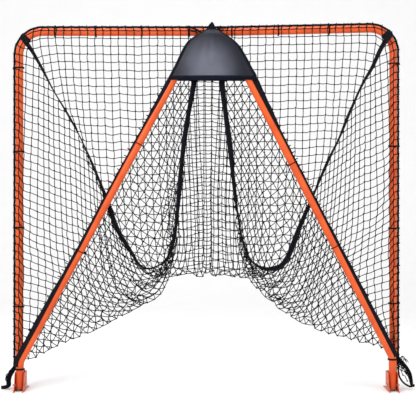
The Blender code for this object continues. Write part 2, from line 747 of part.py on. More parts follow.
def folded_panel(name, back, front):
    """A thin panel that hangs down in a back layer, turns up in a round fold and rises in front.

    back and front are grids whose first rows are the same fold line.
    """
    radius = (BACK_Y - FRONT_Y) / 2
    columns = back.shape[1]
    turn_steps = 6
    sections = []
    for j in range(columns):
        fold = back[0, j]
        up = (back[1, j] - fold) + (front[1, j] - fold)
        up /= np.linalg.norm(up)
        line = [(back[i, j], BACK_Y, (0.0, 1.0)) for i in range(len(back) - 1, 0, -1)]
        for k in range(turn_steps + 1):
            t = math.pi * k / turn_steps
            at = fold + up * radius * (1 - math.sin(t))
            line.append((at, MID_Y + radius * math.cos(t), (-math.sin(t), math.cos(t))))
        line += [(front[i, j], FRONT_Y, (0.0, -1.0)) for i in range(1, len(front))]
        sections.append((line, up))
    add_mesh(name, *closed_sheet(sections), "net", smooth=50)


def closed_sheet(sections):
    """Thicken sections of (X-Z point, y, (in-plane, y) normal) into a closed sheet."""
    rows, columns = len(sections[0][0]), len(sections)
    verts = []
    for s in (0.5, -0.5):
        for line, up in sections:
            for at, y, (a, b) in line:
                p = at + up * (a * s * NET_T)
                verts.append((p[0], y + b * s * NET_T, p[1]))
    half = rows * columns
    faces = []
    for j in range(columns - 1):
        for i in range(rows - 1):
            a, b = j * rows + i, (j + 1) * rows + i
            faces.append((a, b, b + 1, a + 1))
            faces.append((half + a + 1, half + b + 1, half + b, half + a))
    for i in range(rows - 1):
        a, b = i, (columns - 1) * rows + i
        faces.append((a, a + 1, half + a + 1, half + a))
        faces.append((half + b, half + b + 1, b + 1, b))
    for j in range(columns - 1):
        a, b = j * rows, (j + 1) * rows
        faces.append((b, a, half + a, half + b))
        a, b = a + rows - 1, b + rows - 1
        faces.append((a, b, half + b, half + a))
    return verts, faces


def build_side_panel(side, word):
    """One side panel: from its post down to the fold and up to its leg of the V."""
    fold = FOLD_LEFT if side < 0 else FOLD_RIGHT
    down = DOWN_LEFT if side < 0 else DOWN_RIGHT
    up = UP_LEFT if side < 0 else UP_RIGHT
    keep = 0.018 * side
    inset = side * (POST_X - TUBE_R - 0.010)
    post = [(inset, fold[0][1] + 0.03), (inset, 1.60)]
    seam_down = [tuple(p) for p in beside(down[1:7], keep)]
    back_edge = [fold[-1], (fold[-1][0] + side * 0.16, 0.60 + 0.01 * side)] + seam_down[::-1] + [post[-1]]
    back = layer(fold, post, [fold[0], post[0]], back_edge, 9, 17)
    leg = [(leg_x(side, z), z) for z in (0.235, 1.47)]
    seam_up = [tuple(p) for p in beside(up, -keep)]
    front_edge = [fold[-1]] + seam_up[1:] + [leg[-1]]
    front = layer(fold, leg, [fold[0], leg[0]], front_edge, 9, 17)
    folded_panel("net_" + word, back, front)


def build_back_panel():
    """The top and back panel: from the crossbar down to the fold and up to the apex."""
    keep = 0.018
    down_l = [tuple(p) for p in beside(DOWN_LEFT[:6], keep)]
    down_r = [tuple(p) for p in beside(DOWN_RIGHT[:6], -keep)]
    first = [FOLD_MIDDLE[0], (-0.300, 0.640)] + down_l[::-1][:-1] + [(-0.780, 1.742)]
    last = [FOLD_MIDDLE[-1], (0.310, 0.640)] + down_r[::-1][:-1] + [(0.790, 1.752)]
    back = layer(FOLD_MIDDLE, [first[-1], last[-1]], first, last, 11, 15)
    up_l = [tuple(p) for p in beside(UP_LEFT, -keep)]
    up_r = [tuple(p) for p in beside(UP_RIGHT, keep)]
    front = layer(FOLD_MIDDLE, [up_l[-1], up_r[-1]], [FOLD_MIDDLE[0]] + up_l, [FOLD_MIDDLE[-1]] + up_r,
                  11, 15)
    folded_panel("net_back", back, front)


def build_tape(word, down, turn, up):
    """Seam webbing: down from the corner in the back layer, round the turn and up to the apex."""
    route = resample(list(down) + list(turn) + list(up), 120)
    smooth = np.array(route)
    for _ in range(30):
        smooth[1:-1] = (smooth[:-2] + 2 * smooth[1:-1] + smooth[2:]) / 4
    lengths = np.concatenate([[0], np.cumsum(np.linalg.norm(np.diff(smooth, axis=0), axis=1))])
    start = lengths[np.argmin(np.linalg.norm(smooth - np.array(down[-1]), axis=1))] - 0.15
    end = lengths[np.argmin(np.linalg.norm(smooth - np.array(up[0]), axis=1))] + 0.10
    keep = resample(smooth, 46)
    along = np.linspace(0, lengths[-1], 46)
    step = np.gradient(keep, axis=0)
    step /= np.linalg.norm(step, axis=1)[:, None]
    across = np.stack([-step[:, 1], step[:, 0]], axis=1)
    verts, faces = [], []
    for p, n, s in zip(keep, across, along):
        t = min(1.0, max(0.0, (s - start) / (end - start)))
        y = BACK_Y + (FRONT_Y - BACK_Y) * (0.5 * min(1.0, t * 4) + 0.5 * max(0.0, t * 4 - 3))
        for a, b in ((-0.5, -0.5), (0.5, -0.5), (0.5, 0.5), (-0.5, 0.5)):
            q = p + n * a * TAPE_W
            verts.append((q[0], y + b * TAPE_T, q[1]))
    for i in range(len(keep) - 1):
        for k in range(4):
            m = (k + 1) % 4
            faces.append((i * 4 + k, i * 4 + m, i * 4 + 4 + m, i * 4 + 4 + k))
    faces.append((3, 2, 1, 0))
    base = (len(keep) - 1) * 4
    faces.append((base, base + 1, base + 2, base + 3))
    add_mesh("seam_tape_" + word, verts, faces, "rope", smooth=40)


def build_net():
    """Three panels and the two seam tapes."""
    build_side_panel(-1, "left")
    build_side_panel(1, "right")
    build_back_panel()
    build_tape("left", DOWN_LEFT, TURN_LEFT, UP_LEFT)
    build_tape("right", DOWN_RIGHT, TURN_RIGHT, UP_RIGHT)


def main():
    clear_scene()
    hinge = bpy.data.objects.new("v_hinge", None)
    hinge.location = (0, HINGE_Y, HINGE_Z)
    bpy.context.scene.collection.objects.link(hinge)
    build_arch()
    for side, word in ((-1, "left"), (1, "right")):
        build_foot(side, word)
        build_hinge(side, word)
    build_v_frame(hinge)
    build_cover(hinge)
    build_ropes(hinge)
    build_ties(hinge)
    build_tails()
    build_net()
    for obj in bpy.context.scene.objects:
        if obj.type == "MESH":
            fix_normals(obj.data)


def fix_normals(mesh):
    """Make every face of a closed mesh point outward."""
    work = bmesh.new()
    work.from_mesh(mesh)
    bmesh.ops.recalc_face_normals(work, faces=work.faces)
    work.to_mesh(mesh)
    work.free()


main()
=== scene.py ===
"""Finished look of a folding net goal: tube arch, folded V frame and slack three-panel net.

Metres, +Z up. X runs along the crossbar and the V frame is on the -Y side of the arch.
"""

from __future__ import annotations

import logging
import math
from dataclasses import dataclass, field
from enum import Enum
from functools import cached_property

import bmesh
import bpy
import numpy as np
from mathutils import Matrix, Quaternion, Vector


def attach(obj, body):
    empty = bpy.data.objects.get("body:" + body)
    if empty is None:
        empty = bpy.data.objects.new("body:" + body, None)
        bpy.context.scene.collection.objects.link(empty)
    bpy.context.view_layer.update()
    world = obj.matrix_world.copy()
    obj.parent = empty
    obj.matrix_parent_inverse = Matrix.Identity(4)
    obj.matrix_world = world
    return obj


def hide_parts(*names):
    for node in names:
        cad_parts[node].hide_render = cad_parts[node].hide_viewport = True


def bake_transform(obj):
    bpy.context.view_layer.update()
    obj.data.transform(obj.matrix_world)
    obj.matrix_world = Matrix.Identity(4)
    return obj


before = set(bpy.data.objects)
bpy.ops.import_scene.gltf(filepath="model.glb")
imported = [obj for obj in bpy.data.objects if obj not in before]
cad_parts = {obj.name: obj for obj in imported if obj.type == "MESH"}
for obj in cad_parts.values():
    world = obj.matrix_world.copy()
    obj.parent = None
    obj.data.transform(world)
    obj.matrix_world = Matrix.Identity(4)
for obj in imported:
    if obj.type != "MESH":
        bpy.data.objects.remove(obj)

LOG = logging.getLogger("net_goal")

Triple = tuple[float, float, float]
Colour = Triple
Faces = list[tuple[int, ...]]
Array = np.ndarray
Socket = bpy.types.NodeSocket
Material = bpy.types.Material
Piece = bpy.types.Object

ARCH = "arch"
V_FRAME = "v_frame"
TO_VIEWER = (0.0, -1.0, 0.0)
STITCH_PITCH = 0.0055


class Side(Enum):
    """Left or right half of the goal, seen from the V frame's side."""

    LEFT = "left"
    RIGHT = "right"

    @property
    def sign(self) -> int:
        """-1 on the left, +1 on the right."""
        return -1 if self is Side.LEFT else 1

    def pick(self, pair: tuple) -> object:
        """This side's one of a (left, right) pair."""
        return pair[0 if self is Side.LEFT else 1]


class Slot(Enum):
    """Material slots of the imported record."""

    PAINT = "frame_paint"
    ZINC = "zinc"
    PLASTIC = "black_plastic"
    NET = "netting"
    COVER = "cover_cloth"
    WEBBING = "webbing"
    ROPE = "black_rope"


# ---- finishes

class Sketch:
    """A Principled material under construction."""

    def __init__(self, name: str, roughness: float, metallic: float = 0.0) -> None:
        """Start a material with one Principled shader.

        Args:
            name: the material's name.
            roughness: its plain roughness.
            metallic: 1 for bare metal.
        """
        self.material = bpy.data.materials.new(name)
        self.material.use_nodes = True
        self.tree = self.material.node_tree
        self.shader = self.tree.nodes["Principled BSDF"]
        self.shader.inputs["Roughness"].default_value = roughness
        self.shader.inputs["Metallic"].default_value = metallic

    def node(self, kind: str, **values: object) -> bpy.types.Node:
        """Add a node.

        Args:
            kind: Blender's node type.
            values: attributes, or input sockets written with a leading "in_".

        Returns:
            The new node.
        """
        made = self.tree.nodes.new(kind)
        for key, value in values.items():
            if key.startswith("in_"):
                self.feed(made.inputs[key[3:].replace("_", " ")], value)
            else:
                setattr(made, key, value)
        return made

    def feed(self, socket: Socket, value: object) -> None:
        """Link a socket to another, or set its value.

        Args:
            socket: the input.
            value: an output socket, or a plain value.
        """
        if isinstance(value, Socket):
            self.tree.links.new(value, socket)
        else:
            socket.default_value = value

    def link(self, source: Socket, name: str) -> None:
        """Feed one of the shader's sockets."""
        self.tree.links.new(source, self.shader.inputs[name])

    def place(self, scale: Triple = (1.0, 1.0, 1.0)) -> Socket:
        """Object coordinates in metres, stretched by scale."""
        where = self.node("ShaderNodeTexCoord").outputs["Object"]
        return self.node("ShaderNodeMapping", in_Vector=where, in_Scale=scale).outputs["Vector"]

    def lay(self, scale: Triple = (1.0, 1.0, 1.0)) -> Socket:
        """Coordinates along and across a swept piece, in metres, stretched by scale."""
        where = self.node("ShaderNodeUVMap", uv_map="lay").outputs["UV"]
        return self.node("ShaderNodeMapping", in_Vector=where, in_Scale=scale).outputs["Vector"]

    def noise(self, where: Socket, scale: float, detail: float = 3.0) -> Socket:
        """Noise from 0 to 1."""
        return self.node("ShaderNodeTexNoise", in_Vector=where, in_Scale=scale,
                         in_Detail=detail).outputs["Fac"]

    def wave(self, where: Socket, scale: float, direction: str) -> Socket:
        """Sine bands from 0 to 1 along one direction: X, Y, Z or DIAGONAL."""
        return self.node("ShaderNodeTexWave", bands_direction=direction, in_Vector=where,
                         in_Scale=scale).outputs["Fac"]

    def math(self, operation: str, a: object, b: object = 0.5) -> Socket:
        """One arithmetic step on sockets or numbers.

        Args:
            operation: the node's name of the step.
            a: first socket or number.
            b: second socket or number.

        Returns:
            The result.
        """
        step = self.node("ShaderNodeMath", operation=operation)
        self.feed(step.inputs[0], a)
        self.feed(step.inputs[1], b)
        return step.outputs[0]

    def ramp(self, factor: Socket, stops: list[tuple[float, Colour]]) -> Socket:
        """Colours by factor.

        Args:
            factor: what drives the ramp.
            stops: place and colour of each stop, in order.

        Returns:
            The colour socket.
        """
        made = self.node("ShaderNodeValToRGB", in_Fac=factor)
        bars = made.color_ramp.elements
        while len(bars) < len(stops):
            bars.new(0.5)
        for bar, (position, colour) in zip(bars, stops):
            bar.position = position
            bar.color = (*colour, 1.0)
        return made.outputs["Color"]

    def blend(self, factor: Socket, a: Socket, b: Colour) -> Socket:
        """Mix two colours.

        Args:
            factor: how much of b shows.
            a: the colour below.
            b: the colour on top.

        Returns:
            The colour socket.
        """
        made = self.node("ShaderNodeMix", data_type="RGBA")
        for index, value in ((0, factor), (6, a), (7, (*b, 1.0))):
            self.feed(made.inputs[index], value)
        return made.outputs[2]

    def roughness(self, factor: Socket, low: float, high: float) -> None:
        """Roughness from low to high by factor."""
        made = self.node("ShaderNodeMapRange", in_Value=factor, in_To_Min=low, in_To_Max=high)
        self.link(made.outputs["Result"], "Roughness")

    def bump(self, height: Socket, distance: float, strength: float = 1.0,
             under: Socket | None = None) -> Socket:
        """Raise the surface.

        Args:
            height: what raises the surface.
            distance: its full height.
            strength: how strongly it shows, 0 to 1.
            under: a bump that it lies on.

        Returns:
            The bent normal.
        """
        made = self.node("ShaderNodeBump", in_Height=height, in_Distance=distance, in_Strength=strength)
        if under is not None:
            self.tree.links.new(under, made.inputs["Normal"])
        self.link(made.outputs["Normal"], "Normal")
        return made.outputs["Normal"]


@dataclass(frozen=True)
class PowderCoat:
    """Orange powder coat: fine orange peel, faint mottling, and painted shade that darkens it in patches near
    the ground.
    """

    name: str = "orange_powder_coat"
    base: Colour = (0.680, 0.094, 0.012)
    deep: Colour = (0.580, 0.066, 0.008)
    # deep red of the painted shade near the ground
    painted_shade: Colour = (0.36, 0.026, 0.007)
    peel: float = 900.0

    def material(self) -> Material:
        """Build the finish.

        Returns:
            The material.
        """
        s = Sketch(self.name, 0.34)
        where = s.place()
        mottle = s.ramp(s.noise(where, 14.0, 4.0), [(0.35, self.deep), (0.62, self.base)])
        height = s.node("ShaderNodeSeparateXYZ", in_Vector=where).outputs["Z"]
        # Painted shade: darker red in noise patches over the lowest 0.16 m, fading out upwards.
        low = s.node("ShaderNodeMapRange", in_Value=height, in_From_Min=0.16, in_From_Max=0.0)
        shade_patches = s.math("MULTIPLY", low.outputs["Result"], s.noise(s.place((1, 1, 0.5)), 45.0, 5.0))
        s.link(s.blend(shade_patches, mottle, self.painted_shade), "Base Color")
        s.roughness(s.noise(where, 30.0, 3.0), 0.26, 0.46)
        peel = s.bump(s.noise(where, self.peel, 2.0), 0.00025, 0.35)
        s.bump(s.noise(s.place((1, 1, 0.1)), 160.0, 2.0), 0.0003, 0.12, under=peel)
        s.shader.inputs["Specular IOR Level"].default_value = 0.28
        s.shader.inputs["Coat Weight"].default_value = 0.07
        s.shader.inputs["Coat Roughness"].default_value = 0.20
        return s.material


@dataclass(frozen=True)
class PlatedMetal:
    """Zinc plating or bare steel, with brushed lines and dull patches."""

    name: str
    bright: Colour
    dull: Colour
    low: float = 0.25
    high: float = 0.5

    def material(self) -> Material:
        """Build the finish.

        Returns:
            The material.
        """
        s = Sketch(self.name, self.low, 1.0)
        where = s.place()
        s.link(s.ramp(s.noise(where, 220.0, 4.0), [(0.35, self.dull), (0.65, self.bright)]), "Base Color")
        s.roughness(s.noise(where, 120.0, 3.0), self.low, self.high)
        s.bump(s.noise(s.place((1.0, 1.0, 12.0)), 400.0, 2.0), 0.0002, 0.3)
        return s.material


@dataclass(frozen=True)
class MouldedPlastic:
    """Black moulded plastic with a fine spark texture."""

    name: str = "black_moulded_plastic"

    def material(self) -> Material:
        """Build the finish.

        Returns:
            The material.
        """
        s = Sketch(self.name, 0.5)
        where = s.place()
        s.link(s.ramp(s.noise(where, 60.0), [(0.3, (0.012, 0.012, 0.014)), (0.7, (0.03, 0.03, 0.033))]),
               "Base Color")
        s.roughness(s.noise(where, 90.0), 0.4, 0.62)
        s.bump(s.noise(where, 1500.0, 1.0), 0.0002, 0.4)
        return s.material


@dataclass(frozen=True)
class BraidedTwine:
    """Braided synthetic twine, laid along the swept piece."""

    name: str
    dark: Colour
    light: Colour
    pitch: float = 0.004
    round_turns: float = 4.0
    relief: float = 0.0004

    def material(self) -> Material:
        """Build the finish.

        Returns:
            The material.
        """
        s = Sketch(self.name, 0.75)
        along = 1.0 / self.pitch
        one = s.wave(s.lay((along, self.round_turns, 0)), 0.5, "DIAGONAL")
        two = s.wave(s.lay((along, -self.round_turns, 0)), 0.5, "DIAGONAL")
        weave = s.math("MAXIMUM", one, two)
        where = s.place()
        worn = s.math("MULTIPLY", weave, s.noise(where, 22.0, 4.0))
        s.link(s.ramp(worn, [(0.15, self.dark), (0.75, self.light)]), "Base Color")
        s.roughness(s.noise(where, 80.0), 0.62, 0.9)
        s.bump(weave, self.relief, 0.8)
        s.shader.inputs["Specular IOR Level"].default_value = 0.09
        return s.material


@dataclass(frozen=True)
class FlatWebbing:
    """Woven webbing: diagonal twill ribs, firm edges and a dusty fold here and there."""

    name: str = "black_webbing"
    dark: Colour = (0.003, 0.003, 0.005)
    light: Colour = (0.010, 0.010, 0.016)

    def material(self) -> Material:
        """Build the finish.

        Returns:
            The material.
        """
        s = Sketch(self.name, 0.7)
        ribs = s.wave(s.lay((420.0, 420.0, 0)), 1.0, "DIAGONAL")
        threads = s.wave(s.lay((1.0, 1500.0, 0)), 1.0, "Y")
        weave = s.math("MULTIPLY", ribs, s.math("ADD", threads, 0.6))
        where = s.place()
        tone = s.math("MULTIPLY", weave, s.math("ADD", s.noise(where, 18.0, 4.0), 0.2))
        s.link(s.ramp(tone, [(0.1, self.dark), (0.8, self.light)]), "Base Color")
        s.roughness(s.noise(where, 40.0), 0.55, 0.85)
        s.bump(weave, 0.0005, 0.7)
        s.shader.inputs["Specular IOR Level"].default_value = 0.09
        return s.material


@dataclass(frozen=True)
class SatinCloth:
    """Coated satin cloth of the cover: fine plain weave, soft creases, and a painted highlight, pale round a
    point in the lower middle and fading into painted shade towards the edges.
    """

    name: str
    # dark is the colour of the painted shade at the edges, light that of the painted highlight; centre, reach
    # and stretch place and size the highlight
    dark: Colour
    light: Colour
    centre: Triple = (0.012, -0.05, 1.577)
    reach: float = 0.195
    stretch: Triple = (1.12, 0.2, 1.0)
    sheen: float = 0.08
    specular: float = 0.22

    def material(self) -> Material:
        """Build the finish.

        Returns:
            The material.
        """
        s = Sketch(self.name, 0.5)
        where = s.place()
        # Painted highlight: paler near centre, darker (painted shade) further out, mottled by noise.
        offset = s.node("ShaderNodeVectorMath", operation="SUBTRACT", in_Vector=where)
        offset.inputs[1].default_value = self.centre
        stretch = s.node("ShaderNodeVectorMath", operation="MULTIPLY", in_Vector=offset.outputs["Vector"])
        stretch.inputs[1].default_value = self.stretch
        away = s.node("ShaderNodeVectorMath", operation="LENGTH", in_Vector=stretch.outputs["Vector"])
        painted_highlight = s.node("ShaderNodeMapRange", in_Value=away.outputs["Value"], in_From_Min=self.reach,
                      in_From_Max=0.03, interpolation_type="SMOOTHSTEP")
        mottled_highlight = s.math("MULTIPLY", painted_highlight.outputs["Result"], s.math("ADD", s.noise(where, 9.0, 3.0), 0.5))
        s.link(s.ramp(mottled_highlight, [(0.0, self.dark), (1.0, self.light)]), "Base Color")
        s.roughness(s.noise(where, 24.0, 3.0), 0.36, 0.56)
        fine = s.place((1.0, 0.2, 1.0))
        warp = s.wave(fine, 420.0, "X")
        weft = s.wave(fine, 420.0, "Z")
        cloth = s.bump(s.math("ADD", warp, weft), 0.00012, 0.35)
        s.bump(s.noise(s.place((1.0, 1.0, 0.45)), 26.0, 3.0), 0.004, 0.35, under=cloth)
        s.shader.inputs["Specular IOR Level"].default_value = self.specular
        s.shader.inputs["Sheen Weight"].default_value = self.sheen
        s.shader.inputs["Sheen Roughness"].default_value = 0.4
        return s.material


@dataclass(frozen=True)
class StudioFloor:
    """Pale matt studio floor with a faint grain."""

    name: str = "studio_floor"
    tone: float = 0.955

    def material(self) -> Material:
        """Build the finish.

        Returns:
            The material.
        """
        s = Sketch(self.name, 0.85)
        grain = s.noise(s.place(), 5.0, 4.0)
        low, high = (self.tone - 0.01,) * 3, (self.tone + 0.01,) * 3
        s.link(s.ramp(grain, [(0.3, low), (0.7, high)]), "Base Color")
        return s.material


class Finish(Enum):
    """Every finish of the goal."""

    PAINT = PowderCoat()
    ZINC = PlatedMetal("zinc_plate", (0.60, 0.61, 0.63), (0.36, 0.37, 0.39))
    STEEL = PlatedMetal("bare_steel", (0.46, 0.47, 0.49), (0.26, 0.26, 0.27), 0.3, 0.6)
    PLASTIC = MouldedPlastic()
    NET = BraidedTwine("net_twine", (0.002, 0.002, 0.003), (0.012, 0.012, 0.015), 0.003)
    ROPE = BraidedTwine("border_rope_braid", (0.002, 0.002, 0.003), (0.010, 0.010, 0.014), 0.007, 4.0, 0.0008)
    WEBBING = FlatWebbing()
    # cover_satin and cover_hem carry a painted highlight in the lower middle and painted shade towards the
    # edges; on the hem it is barely seen.
    COVER = SatinCloth("cover_satin", (0.006, 0.007, 0.014), (0.108, 0.112, 0.148))
    HEM = SatinCloth("cover_hem", (0.002, 0.003, 0.008), (0.004, 0.006, 0.014), sheen=0.0, specular=0.06)
    STITCH = BraidedTwine("cover_thread", (0.010, 0.011, 0.018), (0.090, 0.095, 0.12), 0.002, 2.0, 0.0002)

    @cached_property
    def material(self) -> Material:
        """The finish's material, made when it is first asked for."""
        return self.value.material()


# ---- mesh helpers

def smooth_line(points: list | Array, count: int, rounds: int = 0) -> Array:
    """Evenly spaced points on a smooth curve through the given ones.

    Args:
        points: the points, in two or three dimensions.
        count: how many points come back.
        rounds: extra smoothing passes.

    Returns:
        The points, one row each.
    """
    pts = np.array([tuple(p) for p in points], float)
    pts = np.vstack([2 * pts[0] - pts[1], pts, 2 * pts[-1] - pts[-2]])
    steps = np.linspace(0, 1, 12, endpoint=False)[:, None]
    fine = []
    for i in range(1, len(pts) - 2):
        a, b, c, d = pts[i - 1:i + 3]
        fine.append(0.5 * (2 * b + (c - a) * steps + (2 * a - 5 * b + 4 * c - d) * steps ** 2
                           + (3 * b - a - 3 * c + d) * steps ** 3))
    fine = np.vstack(fine + [pts[-2:-1]])
    line = respace(fine, count)
    for _ in range(rounds):
        line[1:-1] = (line[:-2] + 2 * line[1:-1] + line[2:]) / 4
    return line


def respace(points: Array, count: int) -> Array:
    """The same line with evenly spaced points.

    Args:
        points: the line.
        count: how many points come back.

    Returns:
        The points, one row each.
    """
    along = arc_lengths(points)
    at = np.linspace(0, along[-1], count)
    return np.stack([np.interp(at, along, points[:, k]) for k in range(points.shape[1])], axis=1)


def arc_lengths(points: Array) -> Array:
    """Length along a line at each of its points."""
    return np.concatenate([[0.0], np.cumsum(np.linalg.norm(np.diff(points, axis=0), axis=1))])


def unit(vectors: Array) -> Array:
    """Vectors scaled to length one."""
    return vectors / np.maximum(np.linalg.norm(vectors, axis=-1, keepdims=True), 1e-12)


def line_frames(path: Array, up: Triple = (0.0, -1.0, 0.0)) -> tuple[Array, Array, Array]:
    """Direction, side and normal at each point of a line, without twist.

    Args:
        path: the line's points.
        up: the normal wanted at its start.

    Returns:
        Three arrays of unit vectors.
    """
    ahead = unit(np.gradient(path, axis=0))
    normal = np.zeros_like(path)
    first = np.array(up, float)
    for i, t in enumerate(ahead):
        first = first - t * (first @ t)
        first = first / max(np.linalg.norm(first), 1e-9)
        normal[i] = first
    return ahead, np.cross(ahead, normal), normal


class MeshKit:
    """Collects swept and turned shapes and makes one mesh object of them."""

    def __init__(self) -> None:
        """Start empty."""
        self.points: list[Array] = []
        self.faces: Faces = []
        self.lays: list[tuple[float, float]] = []
        self.weights: list[Array] = []
        self.slots: list[int] = []
        self.count = 0

    def add(self, points: Array, faces: Faces, lays: list[tuple[float, float]] | None = None,
            slot: int = 0, weight: Array | float = 0.0) -> int:
        """Add points and faces.

        Args:
            points: new points.
            faces: faces that count from the first new point.
            lays: along and across coordinates of every face corner, in order.
            slot: material slot of the faces.
            weight: how far each point follows the V frame, 0 to 1.

        Returns:
            Number of the first new point.
        """
        first = self.count
        self.points.append(np.asarray(points, float))
        self.faces += [tuple(first + k for k in f) for f in faces]
        corners = sum(len(f) for f in faces)
        self.lays += lays if lays is not None else [(0.0, 0.0)] * corners
        self.slots += [slot] * len(faces)
        self.weights.append(np.zeros(len(points)) + weight)
        self.count += len(points)
        return first

    def sweep(self, path: Array, section: Array, frames: tuple[Array, Array, Array] | None = None,
              scale: Array | float = 1.0, caps: bool = True, closed: bool = False, slot: int = 0,
              weight: Array | float = 0.0, round_size: float = 1.0) -> None:
        """Sweep a closed section along a line.

        Args:
            path: the line's points.
            section: (side, normal) offsets, counter-clockwise.
            frames: direction, side and normal at each point, or None to work them out.
            scale: size of the section at each point.
            caps: close both ends.
            closed: join the end to the start.
            slot: material slot.
            weight: how far each point of the line follows the V frame.
            round_size: length of the across coordinate round the section.
        """
        _, side, normal = frames or line_frames(path)
        n, rows = len(section), len(path)
        grow = (np.zeros(rows) + scale)[:, None, None]
        pts = (path[:, None, :] + grow * (section[None, :, :1] * side[:, None, :]
                                          + section[None, :, 1:] * normal[:, None, :]))
        along = arc_lengths(path)
        faces, lays = [], []
        last = rows if closed else rows - 1
        for i in range(last):
            j = (i + 1) % rows
            a0, a1 = along[i], along[i + 1] if i + 1 < rows else along[-1] + (along[1] - along[0])
            for k in range(n):
                m = (k + 1) % n
                u0, u1 = k / n * round_size, (k + 1) / n * round_size
                faces.append((i * n + k, i * n + m, j * n + m, j * n + k))
                lays += [(a0, u0), (a0, u1), (a1, u1), (a1, u0)]
        if caps and not closed:
            faces.append(tuple(range(n))[::-1])
            faces.append(tuple((rows - 1) * n + k for k in range(n)))
            lays += [(along[0], 0.0)] * n + [(along[-1], 0.0)] * n
        spread = np.repeat(np.zeros(rows) + weight, n)
        self.add(pts.reshape(-1, 3), faces, lays, slot, spread)

    def object(self, name: str, finishes: list[Finish], slot: Slot, smooth: float = 50.0) -> Piece:
        """Make the object.

        Args:
            name: the piece's name.
            finishes: one for each material slot.
            slot: the record's slot that the finish stands for; not used.
            smooth: faces meeting at less than this many degrees are shaded smooth.

        Returns:
            The new object, linked to the scene.
        """
        mesh = bpy.data.meshes.new(name)
        points = np.vstack(self.points)
        mesh.from_pydata(points.tolist(), [], self.faces)
        mesh.polygons.foreach_set("material_index", self.slots)
        mesh.polygons.foreach_set("use_smooth", [True] * len(mesh.polygons))
        layer = mesh.uv_layers.new(name="lay")
        layer.data.foreach_set("uv", np.array(self.lays, float).ravel())
        mesh.set_sharp_from_angle(angle=math.radians(smooth))
        for finish in finishes:
            mesh.materials.append(finish.material)
        obj = bpy.data.objects.new(name, mesh)
        bpy.context.scene.collection.objects.link(obj)
        return obj

    def follow_weights(self, obj: Piece, hinge: Vector) -> None:
        """Put obj's points for a moment on a line up from the hinge, each at the height its weight gives,
        apply the object's transform there, and put the points back in the net.

        Every point of one ring or knot has one weight.

        Args:
            obj: the piece, made from this kit.
            hinge: a point on the hinge axis.
        """
        weights = np.clip(np.concatenate(self.weights), 0.0, 1.0)
        share = 0.5 - np.sin(np.arcsin(1 - 2 * weights) / 3)
        start = np.array(hinge)
        line = start + share[:, None] * np.array((0.0, 0.0, 1.0))
        final = np.vstack(self.points)
        obj.data.vertices.foreach_set("co", line.ravel())
        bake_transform(obj)
        obj.data.vertices.foreach_set("co", final.ravel())
        obj.data.update()


def ring_section(radius: float, sides: int) -> Array:
    """A round section, counter-clockwise."""
    turn = np.linspace(0, 2 * math.pi, sides, endpoint=False)
    return radius * np.stack([np.cos(turn), np.sin(turn)], axis=1)


def strap_section(width: float, thickness: float) -> Array:
    """A flat section with rounded edges, counter-clockwise.

    Args:
        width: full width.
        thickness: full thickness.

    Returns:
        (side, normal) offsets.
    """
    points = []
    edge = 3
    r = thickness / 2
    for side, start in ((1, -90), (-1, 90)):
        for k in range(edge + 1):
            t = math.radians(start + 180 * k / edge)
            points.append((side * (width / 2 - r) + r * math.cos(t), r * math.sin(t)))
    return np.array(points)


def lump(centre: Array, size: Array, sides: int = 7) -> tuple[Array, Faces]:
    """A small rounded knot body.

    Args:
        centre: its middle.
        size: half sizes along X, Y and Z.
        sides: corners round it.

    Returns:
        Points and faces.
    """
    points = [(0.0, 0.0, -1.0)]
    for level in (-0.6, 0.15, 0.75):
        r = math.sqrt(1 - level * level)
        for k in range(sides):
            t = 2 * math.pi * (k + level) / sides
            points.append((r * math.cos(t), r * math.sin(t), level))
    points.append((0.0, 0.0, 1.0))
    faces = []
    top = len(points) - 1
    for k in range(sides):
        m = (k + 1) % sides
        faces.append((0, 1 + m, 1 + k))
        for row in range(2):
            a, b = 1 + row * sides, 1 + (row + 1) * sides
            faces.append((a + k, a + m, b + m, b + k))
        faces.append((1 + 2 * sides + k, 1 + 2 * sides + m, top))
    return np.asarray(centre) + np.array(points) * np.asarray(size), faces


def sew(kit: MeshKit, line: Array, thread: Array, weight: Array | float = 0.0) -> None:
    """Short stitches along a line.

    Args:
        kit: collects the mesh.
        line: points of the seam.
        thread: section of the thread.
        weight: how far each point of the line follows the V frame.
    """
    count = int(arc_lengths(line)[-1] / STITCH_PITCH)
    fine = respace(line, count * 2 + 1)
    tone = np.interp(np.linspace(0, 1, len(fine)), np.linspace(0, 1, len(line)), np.zeros(len(line)) + weight)
    for k in range(0, count * 2 - 1, 2):
        kit.sweep(fine[k:k + 2], thread, slot=1, weight=float(tone[k]))


# ---- shared layout

TUBE_R = 0.019
ARCH_Y = 0.045
ARCH_ROPE_R = 0.0045
V_ROPE_R = 0.0055
BACK_Y = ARCH_Y - 0.0235
FRONT_Y = ARCH_Y - 0.0355
HINGE = Vector((0.0, ARCH_Y - 0.082, 0.029))


@dataclass(frozen=True)
class ArchShape:
    """Centreline of the arch, with the small rise of its right half."""

    post_x: float = 0.934
    crossbar_z: float = 1.779
    corner_r: float = 0.115
    rise_start: float = 0.10
    rise: float = math.radians(1.33)
    foot_z: float = 0.0039
    rope_foot_z: float = 0.108

    def top(self, x: float) -> float:
        """Height of the crossbar's centreline."""
        return self.crossbar_z + max(0.0, x - self.rise_start) * math.tan(self.rise)

    def line(self, side: Side, offset: float = 0.0, foot: float | None = None, count: int = 150) -> Array:
        """One half's centreline from the middle of the crossbar down to the foot.

        Args:
            side: which half.
            offset: distance outward.
            foot: height of the lower end.
            count: number of points.

        Returns:
            The points.
        """
        s = side.sign
        low = self.foot_z if foot is None else foot
        top = self.top(s * self.post_x) + offset
        corners = [Vector((s * 0.0002, ARCH_Y, self.crossbar_z + offset))]
        radii = []
        if side is Side.RIGHT:
            corners.append(Vector((self.rise_start, ARCH_Y, self.crossbar_z + offset)))
            radii.append(3.0)
        corners += [Vector((s * (self.post_x + offset), ARCH_Y, top)),
                    Vector((s * (self.post_x + offset), ARCH_Y, low))]
        radii.append(self.corner_r + offset)
        return respace(fillet(corners, radii, 24), count)


